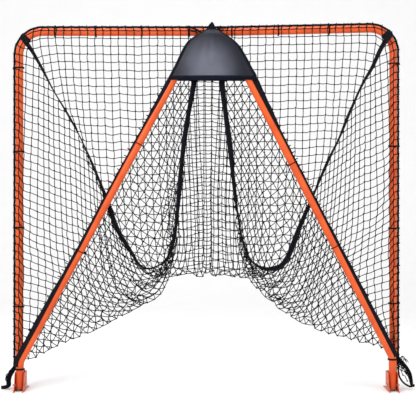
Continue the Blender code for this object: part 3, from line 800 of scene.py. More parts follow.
@dataclass(frozen=True)
class VShape:
    """Centreline of the folded V frame, in its own leaning plane."""

    lean: float = 0.0126
    apex_x: float = 0.0295
    apex_z: float = 1.8856
    apex_r: float = 0.120
    slopes: tuple[float, float] = (0.5429, 0.5156)
    end_x: float = 0.9165
    end_z: float = 0.0125
    knee_r: float = 0.060

    def depth(self, z: float) -> float:
        """Y of the frame's middle plane at a height."""
        return HINGE.y + self.lean * (z - HINGE.z)

    def slope(self, side: Side) -> float:
        """How far a leg spreads for each metre down."""
        return side.pick(self.slopes)

    def leg_x(self, side: Side, z: float) -> float:
        """X of a leg's straight stretch."""
        return self.apex_x + side.sign * self.slope(side) * (self.apex_z - z)

    def knee_z(self, side: Side) -> float:
        """Height where the straight stretch meets the upright end."""
        return self.apex_z - (self.end_x - side.sign * self.apex_x) / self.slope(side)

    def point(self, x: float, z: float) -> Vector:
        """A point in the frame's middle plane."""
        return Vector((x, self.depth(z), z))

    @property
    def normal(self) -> Triple:
        """Direction out of the frame's plane, away from the arch."""
        n = Vector((0.0, -1.0, self.lean)).normalized()
        return (n.x, n.y, n.z)

    def whole(self) -> Array:
        """The whole centreline, left end over the apex to right end.

        Returns:
            The points.
        """
        corners = [self.point(-self.end_x, self.end_z), self.point(-self.end_x, self.knee_z(Side.LEFT)),
                   self.point(self.apex_x, self.apex_z),
                   self.point(self.end_x, self.knee_z(Side.RIGHT)), self.point(self.end_x, self.end_z)]
        return fillet(corners, [self.knee_r, self.apex_r, self.knee_r], 25)

    def leg(self, side: Side) -> Array:
        """One leg's centreline from the apex down to its end.

        Args:
            side: which leg.

        Returns:
            The points.
        """
        path = self.whole()
        middle = len(path) // 2
        half = path[middle::-1] if side is Side.LEFT else path[middle:]
        return respace(np.array(half), 170)

    def outward(self, side: Side, z: float) -> Vector:
        """Direction from a leg's centreline to its outer side, in the frame's plane.

        Args:
            side: which leg.
            z: the height.

        Returns:
            A unit vector.
        """
        if z < self.knee_z(side):
            return Vector((side.sign, 0.0, 0.0))
        out = Vector(self.normal).cross(self.along(side, z))
        return out if out.x * side.sign > 0 else -out

    def along(self, side: Side, z: float) -> Vector:
        """Direction up a leg.

        Args:
            side: which leg.
            z: the height.

        Returns:
            A unit vector.
        """
        if z < self.knee_z(side):
            return (self.point(0, 1.0) - self.point(0, 0.0)).normalized()
        above = self.point(self.leg_x(side, z + 0.1), z + 0.1)
        return (above - self.point(self.leg_x(side, z), z)).normalized()

    def centre(self, side: Side, z: float) -> Vector:
        """A leg's centreline at a height."""
        x = side.sign * min(self.end_x, side.sign * self.leg_x(side, z))
        return self.point(x, z)


def fillet(corners: list[Vector], radii: list[float], steps: int) -> Array:
    """A line through corners with its inner corners rounded.

    Args:
        corners: the corner points, in one plane.
        radii: radius at each inner corner.
        steps: steps in each rounding.

    Returns:
        The points.
    """
    path = [corners[0]]
    for before, corner, after, radius in zip(corners, corners[1:], corners[2:], radii):
        a, b = (before - corner).normalized(), (after - corner).normalized()
        half = a.angle(b) / 2
        centre = corner + (a + b).normalized() * (radius / math.sin(half))
        start, end = corner + a * (radius / math.tan(half)), corner + b * (radius / math.tan(half))
        turn = (start - centre).angle(end - centre)
        axis = (start - centre).cross(end - centre).normalized()
        for i in range(steps + 1):
            spoke = (start - centre).copy()
            spoke.rotate(Quaternion(axis, turn * i / steps))
            path.append(centre + spoke)
    path.append(corners[-1])
    return np.array([tuple(p) for p in path])


ARCH_SHAPE = ArchShape()
V_SHAPE = VShape()


# ---- camera, light and floor

@dataclass
class Studio:
    """Level camera behind the folded goal, plain soft light and a pale floor that sweeps up."""

    distance: float = 5.0
    eye_x: float = 0.0085
    eye_z: float = 0.90
    half_view: float = 1.04
    floor_size: float = 14.0

    def place_camera(self) -> None:
        """Put the camera square to the arch."""
        data = bpy.data.cameras.new("camera")
        data.sensor_width = 36.0
        data.lens = data.sensor_width / 2 / (self.half_view / self.distance)
        data.clip_end = 100.0
        camera = bpy.data.objects.new("camera", data)
        camera.location = (self.eye_x, ARCH_Y - self.distance, self.eye_z)
        camera.rotation_euler = (math.pi / 2, 0.0, 0.0)
        bpy.context.scene.collection.objects.link(camera)
        bpy.context.scene.camera = camera

    def light(self) -> None:
        """Big soft lights in front, to the left and overhead, in a bright white room."""
        scene = bpy.context.scene
        scene.view_settings.view_transform = "Standard"
        world = bpy.data.worlds.new("white_room")
        world.use_nodes = True
        back = world.node_tree.nodes["Background"]
        back.inputs["Color"].default_value = (1.0, 1.0, 1.0, 1.0)
        back.inputs["Strength"].default_value = 0.80
        scene.world = world
        self.area("key_light", (-2.6, -4.6, 3.4), (0.0, 0.0, 0.95), 2.2, 150.0)
        self.area("fill_light", (3.4, -4.2, 1.8), (0.0, 0.0, 0.8), 2.6, 45.0)
        self.area("top_light", (0.0, -0.6, 5.2), (0.0, 0.0, 0.0), 3.0, 90.0)

    def area(self, name: str, place: Triple, target: Triple,
             size: float, power: float) -> None:
        """Add a square light aimed at a point.

        Args:
            name: the light's name.
            place: where it hangs.
            target: what it faces.
            size: its side.
            power: watts.
        """
        data = bpy.data.lights.new(name, "AREA")
        data.size, data.energy = size, power
        lamp = bpy.data.objects.new(name, data)
        lamp.location = place
        lamp.rotation_euler = (Vector(target) - Vector(place)).to_track_quat("-Z", "Y").to_euler()
        bpy.context.scene.collection.objects.link(lamp)

    def floor(self) -> None:
        """Lay the floor."""
        h = self.floor_size / 2
        columns = 9
        profile = [(-h, 0.0), (h - 3.0, 0.0)]
        profile += [(h - 3.0 + 3.0 * math.sin(t), 3.0 - 3.0 * math.cos(t))
                    for t in np.linspace(0.1, math.pi / 2, 14)]
        profile.append((h, self.floor_size))
        points, faces = [], []
        for y, z in profile:
            points += [(-2 * h + 4 * h * k / (columns - 1), y, z - 0.0002) for k in range(columns)]
        for i in range(len(profile) - 1):
            for k in range(columns - 1):
                a = i * columns + k
                faces.append((a, a + 1, a + columns + 1, a + columns))
        mesh = bpy.data.meshes.new("studio_floor")
        mesh.from_pydata(points, [], faces)
        mesh.polygons.foreach_set("use_smooth", [True] * len(mesh.polygons))
        mesh.materials.append(StudioFloor().material())
        obj = bpy.data.objects.new("studio_floor", mesh)
        bpy.context.scene.collection.objects.link(obj)


# ---- free cords

@dataclass
class BorderTail:
    """Loose lower end of the border rope, frayed at its end."""

    side: Side
    radius: float = 0.0050
    exit_z: float = 0.1065
    net_ends: int = 13
    spreads: tuple = ((-0.006, 0.020), (-0.040, 0.006))
    swells: tuple = ((0.9, 1.3, 1.45, 1.15, 0.85), (0.85, 1.0, 1.05, 0.95, 0.75))
    shift: tuple = (0.0, 0.2, 0.55, 0.8, 1.0)
    routes: tuple = (((-0.972, 0.010, 0.086), (-0.991, 0.016, 0.064), (-0.993, 0.020, 0.046),
                      (-0.982, 0.022, 0.026), (-0.996, 0.024, 0.012), (-1.020, 0.024, 0.0068)),
                     ((0.960, 0.006, 0.082), (0.962, 0.014, 0.062), (0.972, 0.020, 0.042),
                      (0.990, 0.022, 0.024), (1.014, 0.024, 0.012), (1.034, 0.024, 0.016)))
    bundles: tuple = (((-0.944, 0.0, 0.128), (-0.950, 0.0, 0.112), (-0.962, 0.004, 0.092),
                       (-0.976, 0.006, 0.068), (-0.981, 0.008, 0.044), (-0.980, 0.008, 0.022),
                       (-0.996, 0.008, 0.012), (-1.018, 0.006, 0.0095)),
                      ((0.947, 0.0, 0.166), (0.957, 0.0, 0.152), (0.976, 0.004, 0.130),
                       (0.996, 0.006, 0.103), (1.010, 0.008, 0.076), (1.0165, 0.008, 0.046),
                       (1.020, 0.008, 0.022), (1.034, 0.006, 0.0185)))

    def exit_point(self) -> Triple:
        """Where the tail leaves the border rope."""
        x = ARCH_SHAPE.post_x + TUBE_R + ARCH_ROPE_R + 0.0006
        return (self.side.sign * x, ARCH_Y, self.exit_z)

    def route(self) -> Array:
        """Points that the tail lies along.

        Returns:
            The points.
        """
        x, y, z = self.exit_point()
        points = [(a, y - back, c) for a, back, c in self.side.pick(self.routes)]
        return smooth_line([(x, y, z), (x, y, 0.100)] + points, 36)

    def bundle(self) -> Array:
        """Middle line of the gathered net and webbing ends."""
        y = ARCH_Y - 0.030
        return smooth_line([(x, y - back, z) for x, back, z in self.side.pick(self.bundles)], 90)

    def build(self) -> Piece:
        """Returns:
            The tail.
        """
        path = self.route()
        fine = smooth_line(path, 110)
        kit = MeshKit()
        braid_rope(kit, fine, self.radius, TO_VIEWER, pitch=0.026)
        obj = kit.object("border_tail_" + self.side.value + "_rope", [Finish.ROPE], Slot.ROPE)
        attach(obj, ARCH)
        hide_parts("border_tail_" + self.side.value)
        ends = self.gathered_ends()
        return obj

    def gathered_ends(self) -> Piece:
        """Webbing end and net ends that hang beside the tail, knotted together.

        Returns:
            The piece.
        """
        s = self.side.sign
        rng = np.random.default_rng(71 + s)
        kit = MeshKit()
        band = self.bundle()
        ahead = unit(np.gradient(band, axis=0))
        flat = np.tile(np.array((0.0, -1.0, 0.15)), (len(band), 1))
        flat = unit(flat - ahead * np.sum(flat * ahead, axis=1)[:, None])
        even = np.linspace(0, 1, len(band))
        width = np.interp(even, self.shift, self.side.pick(self.swells))
        kit.sweep(band, strap_section(0.018, 0.0045), (ahead, np.cross(ahead, flat), flat), scale=width,
                  slot=1, round_size=0.04)
        share = np.linspace(0, 1, 60)
        for k in range(self.net_ends):
            begin, reach = 0.10 * rng.random(), 0.62 + 0.38 * rng.random()
            far = begin + share * (reach - begin)
            path = np.stack([np.interp(far, even, band[:, i]) for i in range(3)], axis=1)
            swing = rng.uniform(*self.side.pick(self.spreads)) * s
            path[:, 0] += swing * np.sin(share * math.pi * rng.uniform(0.85, 1.0))
            path[:, 0] += 0.0025 * np.sin(share * 31 + k)
            path[:, 1] += rng.uniform(-0.010, 0.004) + 0.003 * np.cos(share * 27 + 2 * k)
            path[:, 2] = np.maximum(path[:, 2] + 0.0025 * np.sin(share * 23 + k), 0.0045)
            kit.sweep(smooth_line(path[::4], 50), ring_section(0.0019, 6))
            for place in (0.22, 0.40, 0.58, 0.76, 0.96):
                body, faces = lump(path[int(place * 59)], np.array((0.0040, 0.0034, 0.0042)), 7)
                kit.add(body, faces)
        if self.side is Side.RIGHT:
            for k in range(5):
                t = np.linspace(0, math.pi, 9)
                x0, z0 = 0.974 + 0.006 * k, 0.150 - 0.004 * k
                loop = np.stack([x0 + 0.010 * np.cos(t + 0.5 * k), np.full(9, ARCH_Y - 0.034 - 0.002 * k),
                                 z0 + (0.014 + 0.003 * (k % 3)) * np.sin(t)], axis=1)
                kit.sweep(smooth_line(loop, 24), ring_section(0.0017, 6))
        obj = kit.object("border_tail_" + self.side.value + "_ends", [Finish.ROPE, Finish.WEBBING],
                         Slot.ROPE)
        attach(obj, ARCH)
        return obj


def braid_rope(kit: MeshKit, path: Array, radius: float, up: Triple, pitch: float,
               wobble: float = 0.0) -> None:
    """Lay three twisted strands along a line.

    Args:
        kit: collects the mesh.
        path: centreline of the rope.
        radius: outer radius.
        up: normal at the rope's start.
        pitch: length of one turn.
        wobble: how unevenly the strands swell, as a share of the radius.
    """
    _, side, normal = line_frames(path, up)
    along = arc_lengths(path)
    strand_r = radius * 0.50
    for k in range(3):
        turn = 2 * math.pi * (along / pitch + k / 3)
        offset = (radius - strand_r) * (1 + wobble * np.sin(along * 91.0 + 2.1 * k))
        line = path + side * (offset * np.cos(turn))[:, None] + normal * (offset * np.sin(turn))[:, None]
        kit.sweep(line, ring_section(strand_r, 7))


# ---- tubes

@dataclass
class FrameTubes:
    """The painted tubes of the arch and the V frame, with their rolled ends."""

    wall: float = 0.0016
    sides: int = 40

    def tube(self, name: str, node: str, body: str, path: Array, up: Triple) -> Piece:
        """Make one hollow tube.

        Args:
            name: the piece's name.
            node: the CAD node it stands for.
            body: the body it rides on.
            path: its centreline.
            up: normal of the path's plane.

        Returns:
            The tube.
        """
        kit = MeshKit()
        frames = line_frames(path, up)
        outer = np.full(len(path), TUBE_R)
        outer[[0, -1]] -= 0.0006
        kit.sweep(path, ring_section(1.0, self.sides), frames, scale=outer, caps=False)
        inner = np.full(len(path), TUBE_R - self.wall)
        kit.sweep(path, ring_section(1.0, self.sides)[::-1], frames, scale=inner, caps=False)
        n, rows = self.sides, len(path)
        for row, flip in ((0, False), (rows - 1, True)):
            rim = []
            for k in range(n):
                m = (k + 1) % n
                o, p = row * n + k, row * n + m
                i, j = rows * n + row * n + (n - 1 - k), rows * n + row * n + (n - 1 - m)
                face = (o, i, j, p)
                rim.append(face[::-1] if flip else face)
            kit.faces += rim
            kit.lays += [(0.0, 0.0)] * (4 * n)
            kit.slots += [0] * n
        obj = kit.object(name, [Finish.PAINT], Slot.PAINT)
        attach(obj, body)
        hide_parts(node)
        return obj

    def build(self) -> list[Piece]:
        """Make the four tubes.

        Returns:
            The tubes.
        """
        made = []
        for side in Side:
            word = side.value
            made.append(self.tube("arch_" + word + "_bent_tube", "arch_tube_" + word, ARCH,
                                  ARCH_SHAPE.line(side), TO_VIEWER))
            made.append(self.tube("v_" + word + "_bent_tube", "v_tube_" + word, V_FRAME,
                                  V_SHAPE.leg(side), V_SHAPE.normal))
        return made


@dataclass
class TubePlug:
    """Domed plastic plug pressed into a leg's lower end, just inside the rolled rim."""

    side: Side
    recess: float = 0.0010
    depth: float = 0.012

    def build(self) -> Piece:
        """Make the plug.

        Returns:
            The plug.
        """
        end = Vector(V_SHAPE.leg(self.side)[-1])
        up = V_SHAPE.along(self.side, 0.0)
        rows = np.array([tuple(end + up * (self.recess + self.depth * t))
                         for t in (0, 0.03, 0.10, 0.22, 0.6, 1)])
        kit = MeshKit()
        kit.sweep(rows, ring_section(TUBE_R - 0.0019, 32), scale=np.array((0.55, 0.82, 0.95, 1.0, 1.0, 0.97)))
        obj = kit.object("v_plug_" + self.side.value + "_domed", [Finish.PLASTIC], Slot.PLASTIC)
        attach(obj, V_FRAME)
        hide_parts("v_plug_" + self.side.value)
        return obj


# ---- feet and hinges

@dataclass
class FootHinge:
    """Bracket, hex bolt, hex nut and washers at one foot."""

    side: Side
    hinge_x: float = 0.9165
    ear_gap: float = 0.042
    ear_t: float = 0.003
    head_across: float = 0.0076
    edge_round: float = 0.0009

    def build(self) -> list[Piece]:
        """Make the foot's pieces.

        Returns:
            Bracket, bolt and nut.
        """
        word = self.side.value
        made = [self.rounded_bracket("foot_bracket_" + word)]
        half = self.ear_gap / 2 + self.ear_t
        made.append(self.bolt("hinge_bolt_" + word, half))
        made.append(self.nut("hinge_nut_" + word, half))
        return made

    def rounded_bracket(self, node: str) -> Piece:
        """Copy the bracket and round its edges.

        Args:
            node: the CAD node.

        Returns:
            The bracket.
        """
        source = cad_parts[node]
        work = bmesh.new()
        work.from_mesh(source.data)
        bmesh.ops.remove_doubles(work, verts=work.verts, dist=1e-5)
        bmesh.ops.dissolve_limit(work, angle_limit=math.radians(2), verts=work.verts, edges=work.edges)
        sharp = [e for e in work.edges
                 if len(e.link_faces) == 2 and e.calc_face_angle(0.0) > math.radians(35)]
        bmesh.ops.bevel(work, geom=sharp, offset=self.edge_round, segments=2, profile=0.6, affect="EDGES",
                        clamp_overlap=True)
        mesh = bpy.data.meshes.new(node + "_rounded")
        work.to_mesh(mesh)
        work.free()
        mesh.polygons.foreach_set("use_smooth", [True] * len(mesh.polygons))
        mesh.set_sharp_from_angle(angle=math.radians(40))
        mesh.materials.append(Finish.PAINT.material)
        obj = bpy.data.objects.new(node + "_rounded", mesh)
        bpy.context.scene.collection.objects.link(obj)
        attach(obj, ARCH)
        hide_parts(node)
        return obj

    def hex_body(self, kit: MeshKit, start: float, end: float, across: float, bevel: float) -> None:
        """A six-sided body on the hinge axis with chamfered corners.

        Args:
            kit: collects the mesh.
            start: lower end along X.
            end: upper end along X.
            across: half its width over flats.
            bevel: length of the chamfers.
        """
        rows = ((start, across * 0.90), (start + bevel, across * 1.10), (end - bevel, across * 1.10),
                (end, across * 0.90))
        self.turned(kit, rows, 6)

    def turned(self, kit: MeshKit, rows: tuple, sides: int) -> None:
        """A closed body of revolution on the hinge axis.

        Args:
            kit: collects the mesh.
            rows: (along, radius) from low to high.
            sides: corners round it.
        """
        x0 = self.side.sign * self.hinge_x
        points, faces = [], []
        for along, radius in rows:
            for k in range(sides):
                t = 2 * math.pi * (k + 0.5) / sides
                points.append((x0 + along, HINGE.y + radius * math.cos(t), HINGE.z + radius * math.sin(t)))
        for i in range(len(rows) - 1):
            for k in range(sides):
                m = (k + 1) % sides
                faces.append((i * sides + k, i * sides + m, (i + 1) * sides + m, (i + 1) * sides + k))
        faces.append(tuple(range(sides))[::-1])
        faces.append(tuple((len(rows) - 1) * sides + k for k in range(sides)))
        kit.add(np.array(points), faces)

    def bolt(self, node: str, half: float) -> Piece:
        """Threaded bolt with its head on the inner ear.

        Args:
            node: the CAD node.
            half: half the width over both ears.

        Returns:
            The bolt.
        """
        s = -self.side.sign
        kit = MeshKit()
        head = sorted((s * (half + 0.0004), s * (half + 0.0055)))
        self.hex_body(kit, head[0], head[1], self.head_across * 0.92, 0.0008)
        ends = sorted((s * (half + 0.0004), -s * (half + 0.0115)))
        threads = []
        count = 60
        for k in range(count + 1):
            a = ends[0] + (ends[1] - ends[0]) * k / count
            cut = 0.00028 * (k % 2) if (a * s < -half + 0.004) else 0.0
            threads.append((a, 0.0039 - cut))
        self.turned(kit, tuple(threads), 20)
        obj = kit.object(node + "_hex", [Finish.ZINC], Slot.ZINC, smooth=30)
        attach(obj, ARCH)
        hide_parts(node)
        return obj

    def nut(self, node: str, half: float) -> Piece:
        """Lock nut on the outer ear: hex body and a plain collar.

        Args:
            node: the CAD node.
            half: half the width over both ears.

        Returns:
            The nut.
        """
        s = self.side.sign
        kit = MeshKit()
        body = sorted((s * (half + 0.0004), s * (half + 0.0056)))
        self.hex_body(kit, body[0], body[1], self.head_across * 0.88, 0.0007)
        collar = sorted((s * (half + 0.0056), s * (half + 0.0074)))
        self.turned(kit, ((collar[0], 0.0058), (collar[1], 0.0054)), 24)
        obj = kit.object(node + "_hex", [Finish.ZINC], Slot.ZINC, smooth=30)
        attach(obj, ARCH)
        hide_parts(node)
        return obj


# ---- ties and straps

def loop_outline(discs: list[Triple]) -> Array:
    """A loop drawn tight round several round bodies.

    Args:
        discs: outward offset, across offset and radius of each body.

    Returns:
        56 (outward, across) offsets, counter-clockwise.
    """
    dots = np.vstack([np.array((x, y)) + ring_section(r, 48) for x, y, r in discs])
    dots = dots[np.lexsort((dots[:, 1], dots[:, 0]))]
    halves = []
    for run in (dots, dots[::-1]):
        hull: list[Array] = []
        for dot in run:
            while len(hull) > 1:
                (ax, ay), (bx, by) = hull[-1] - hull[-2], dot - hull[-2]
                if ax * by - ay * bx > 1e-12:
                    break
                hull.pop()
            hull.append(dot)
        halves += hull[:-1]
    return respace(np.array(halves + halves[:1]), 57)[:-1]


@dataclass
class CordTie:
    """Cord wound round tube and border rope, with its knot on the inner side."""

    node: str
    body: str
    centre: Vector
    outward: Vector
    along: Vector
    held: list
    turns: int = 3
    cord_r: float = 0.0015
    seed: int = 0

    def place(self, out: float, across: float, shift: float) -> Array:
        """A point given by offsets outward, across and along the tube."""
        side = self.along.cross(self.outward).normalized()
        return np.array(self.centre + self.outward * out + side * across + self.along * shift)

    def build(self) -> Piece:
        """Make the tie.

        Returns:
            The tie.
        """
        rng = np.random.default_rng(self.seed + 11)
        kit = MeshKit()
        clear = self.cord_r + 0.0005
        discs = [(0.0, 0.0, TUBE_R + clear)]
        discs += [(out, across, r + clear) for out, across, r in self.held]
        ring = loop_outline(discs)
        n = len(ring)
        width = 2 * self.cord_r * (self.turns - 1)
        skew = rng.normal(0, 0.0012)
        path = []
        for k in range(self.turns * n + 1):
            out, across = ring[k % n]
            shift = width * (k / (self.turns * n) - 0.5) + skew * across / TUBE_R
            path.append(self.place(out, across, shift))
        kit.sweep(np.array(path), ring_section(self.cord_r * 1.04, 7))
        self.knot(kit, rng)
        obj = kit.object(self.node + "_cord", [Finish.ROPE], Slot.ROPE)
        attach(obj, self.body)
        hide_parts(self.node)
        return obj

    def knot(self, kit: MeshKit, rng: np.random.Generator) -> None:
        """Two crossed turns, a core and two cut ends on the tube's inner side.

        Args:
            kit: collects the mesh.
            rng: source of small differences.
        """
        base = -(TUBE_R + 0.0026)
        core, faces = lump(self.place(base, -0.002, 0.0), np.array((0.0030, 0.0030, 0.0034)), 9)
        kit.add(core, faces)
        t = np.linspace(0, 2 * math.pi, 20)
        for tilt in (-0.7, 0.7):
            ring = [self.place(base + 0.0030 * math.cos(a), -0.002 + 0.0030 * math.sin(a) * math.cos(tilt),
                               0.0034 * math.sin(a) * math.sin(tilt)) for a in t[:-1]]
            kit.sweep(np.array(ring), ring_section(0.0011, 6), closed=True)
        for s in (-1, 1):
            reach = 0.006 + 0.003 * rng.random()
            end = [self.place(base - reach * q * 0.35, -0.002 - reach * q * 0.35, s * reach * q * 0.8)
                   for q in np.linspace(0, 1, 6)]
            kit.sweep(np.array(end), ring_section(0.0010, 6))


@dataclass
class CornerStrap:
    """Webbing wound over tube and rope in a top corner, its end folded under."""

    side: Side
    thickness: float = 0.0016
    clearance: float = 0.0030
    widths: tuple[float, float] = (0.024, 0.032)

    def build(self) -> Piece:
        """Make the wrap.

        Returns:
            The strap.
        """
        s = self.side.sign
        shape = ARCH_SHAPE
        top = shape.top(s * (shape.post_x - shape.corner_r))
        centre = Vector((s * (shape.post_x - shape.corner_r), ARCH_Y, top - shape.corner_r))
        out = Vector((s, 0.0, 1.0)).normalized()
        along = Vector((1.0, 0.0, -s)).normalized()
        side = along.cross(out).normalized()
        middle = centre + out * shape.corner_r
        kit = MeshKit()
        wide = self.side.pick(self.widths)
        near = self.clearance - 0.0008
        for lift, width, tilt in ((0.0, wide, 0.0), (0.0016, wide * 0.62, 0.10)):
            ring = loop_outline([(0.0, 0.0, TUBE_R + near + lift),
                                 (TUBE_R + ARCH_ROPE_R + 0.0006, 0.0, ARCH_ROPE_R + near + lift)])
            path = np.array([tuple(middle + out * a + side * b + along * (tilt * b)) for a, b in ring])
            ahead = unit(np.roll(path, -1, axis=0) - np.roll(path, 1, axis=0))
            across = np.tile(np.array(along), (len(path), 1))
            across = unit(across - ahead * np.sum(across * ahead, axis=1)[:, None])
            frames = (ahead, across, -np.cross(across, ahead))
            kit.sweep(path, strap_section(width, self.thickness), frames, closed=True, round_size=2 * width)
        obj = kit.object("corner_strap_" + self.side.value + "_webbing", [Finish.WEBBING], Slot.WEBBING)
        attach(obj, ARCH)
        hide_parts("corner_strap_" + self.side.value)
        return obj


@dataclass(frozen=True)
class WebbingLay:
    """Where the webbing and the rope lie on a leg, by the edges' offsets from the tube's centreline."""

    side: Side
    reach: float = 0.0249
    left: tuple = ((0.10, 0.0060, 0.0300, 60, 0.0220), (0.30, 0.0050, 0.0300, 60, 0.0220),
                   (0.46, 0.0055, 0.0275, 60, 0.0205), (0.60, 0.0070, 0.0225, 62, 0.0165),
                   (0.72, 0.0068, 0.0215, 62, 0.0155), (0.94, 0.0135, 0.0245, 50, 0.0180),
                   (1.15, 0.0150, 0.0240, 50, 0.0175), (1.32, 0.0135, 0.0245, 50, 0.0175),
                   (1.42, 0.0085, 0.0275, 52, 0.0180), (1.54, 0.0070, 0.0275, 54, 0.0180))
    right: tuple = ((0.10, 0.0075, 0.0300, 60, 0.0220), (0.30, 0.0085, 0.0295, 60, 0.0220),
                    (0.50, 0.0100, 0.0285, 60, 0.0210), (0.72, 0.0115, 0.0262, 56, 0.0195),
                    (0.92, 0.0140, 0.0250, 50, 0.0185), (1.10, 0.0145, 0.0245, 50, 0.0180),
                    (1.24, 0.0148, 0.0245, 50, 0.0180), (1.34, 0.0115, 0.0320, 56, 0.0190),
                    (1.42, 0.0110, 0.0370, 60, 0.0200), (1.54, 0.0105, 0.0415, 62, 0.0205))

    def at(self, z: Array | float) -> Array:
        """Inner and outer edge, lean of the band's normal and the rope's offset at a height."""
        keys = np.array(self.side.pick((self.left, self.right)), float)
        return np.array([np.interp(z, keys[:, 0], keys[:, k]) for k in (1, 2, 3, 4)])

    def edge_points(self, values: Array) -> tuple[Array, Array]:
        """Offsets outward and to the front of both edges, the band lying against the tube.

        Args:
            values: what at() gives.

        Returns:
            Inner and outer edge.
        """
        inner, outer, lean, _ = values
        c, s = np.cos(np.radians(lean)), np.sin(np.radians(lean))
        touch = TUBE_R + 0.0012
        points = []
        for edge in (inner, outer):
            t = (edge - touch * c) / s
            points.append(np.array([touch * c + t * s, touch * s - t * c]))
        return points[0], points[1]

    def rope_place(self, values: Array) -> tuple[Array, Array]:
        """Offsets outward and to the front of the rope's centre."""
        return values[3], -np.sqrt(self.reach ** 2 - values[3] ** 2)

    def discs(self, z: float) -> list[Triple]:
        """Bodies that a tie goes round at a height: outward offset, across offset, radius.

        Args:
            z: the height.

        Returns:
            One row for each body.
        """
        values = self.at(z)
        first, second = self.edge_points(values)
        out, face = self.rope_place(values)
        return [(float(out), float(-face), V_ROPE_R)] + [(float(p[0]), float(-p[1]), 0.0008)
                                                         for p in (first, second)]


@dataclass
class Ties:
    """Every tie and strap that holds the net's border to the tubes."""

    crossbar: tuple[float, ...] = (-0.7565, -0.5515, -0.3235, -0.0865, 0.128, 0.360, 0.612)
    post_left: tuple[float, ...] = (1.6005, 1.181, 0.8015, 0.408)
    post_right: tuple[float, ...] = (1.6215, 1.2095, 0.7995, 0.4245)
    leg_left: tuple[float, ...] = (1.2165, 0.687, 0.107)
    leg_right: tuple[float, ...] = (1.119, 0.709, 0.157)
    leg_turns: int = 2

    def build(self) -> list[Piece]:
        """Make them all.

        Returns:
            Ties and straps.
        """
        made = []
        shape = ARCH_SHAPE
        beside = [(TUBE_R + ARCH_ROPE_R + 0.0014, 0.0, ARCH_ROPE_R + 0.0010)]
        for i, x in enumerate(self.crossbar):
            rise = math.tan(shape.rise) if x > shape.rise_start + 0.03 else 0.0
            made.append(CordTie("crossbar_tie_%d" % (i + 1), ARCH, Vector((x, ARCH_Y, shape.top(x))),
                                Vector((-rise, 0, 1)).normalized(), Vector((1, 0, rise)).normalized(),
                                beside, seed=i).build())
        for side, heights in ((Side.LEFT, self.post_left), (Side.RIGHT, self.post_right)):
            for i, z in enumerate(heights):
                made.append(CordTie("post_tie_%s_%d" % (side.value, i + 1), ARCH,
                                    Vector((side.sign * shape.post_x, ARCH_Y, z)), Vector((side.sign, 0, 0)),
                                    Vector((0, 0, side.sign)), beside, seed=20 + i).build())
        for side, heights in ((Side.LEFT, self.leg_left), (Side.RIGHT, self.leg_right)):
            for i, z in enumerate(heights):
                tied = i < 2
                made.append(CordTie("leg_tie_%s_%d" % (side.value, i + 1), V_FRAME,
                                    V_SHAPE.centre(side, z), V_SHAPE.outward(side, z),
                                    V_SHAPE.along(side, z) * side.sign,
                                    WebbingLay(side).discs(z) if tied else [],
                                    turns=self.leg_turns if tied else 3,
                                    cord_r=0.0014 if tied else 0.0018, seed=40 + i).build())
        for side in Side:
            made.append(CornerStrap(side).build())
        return made


# ---- border ropes

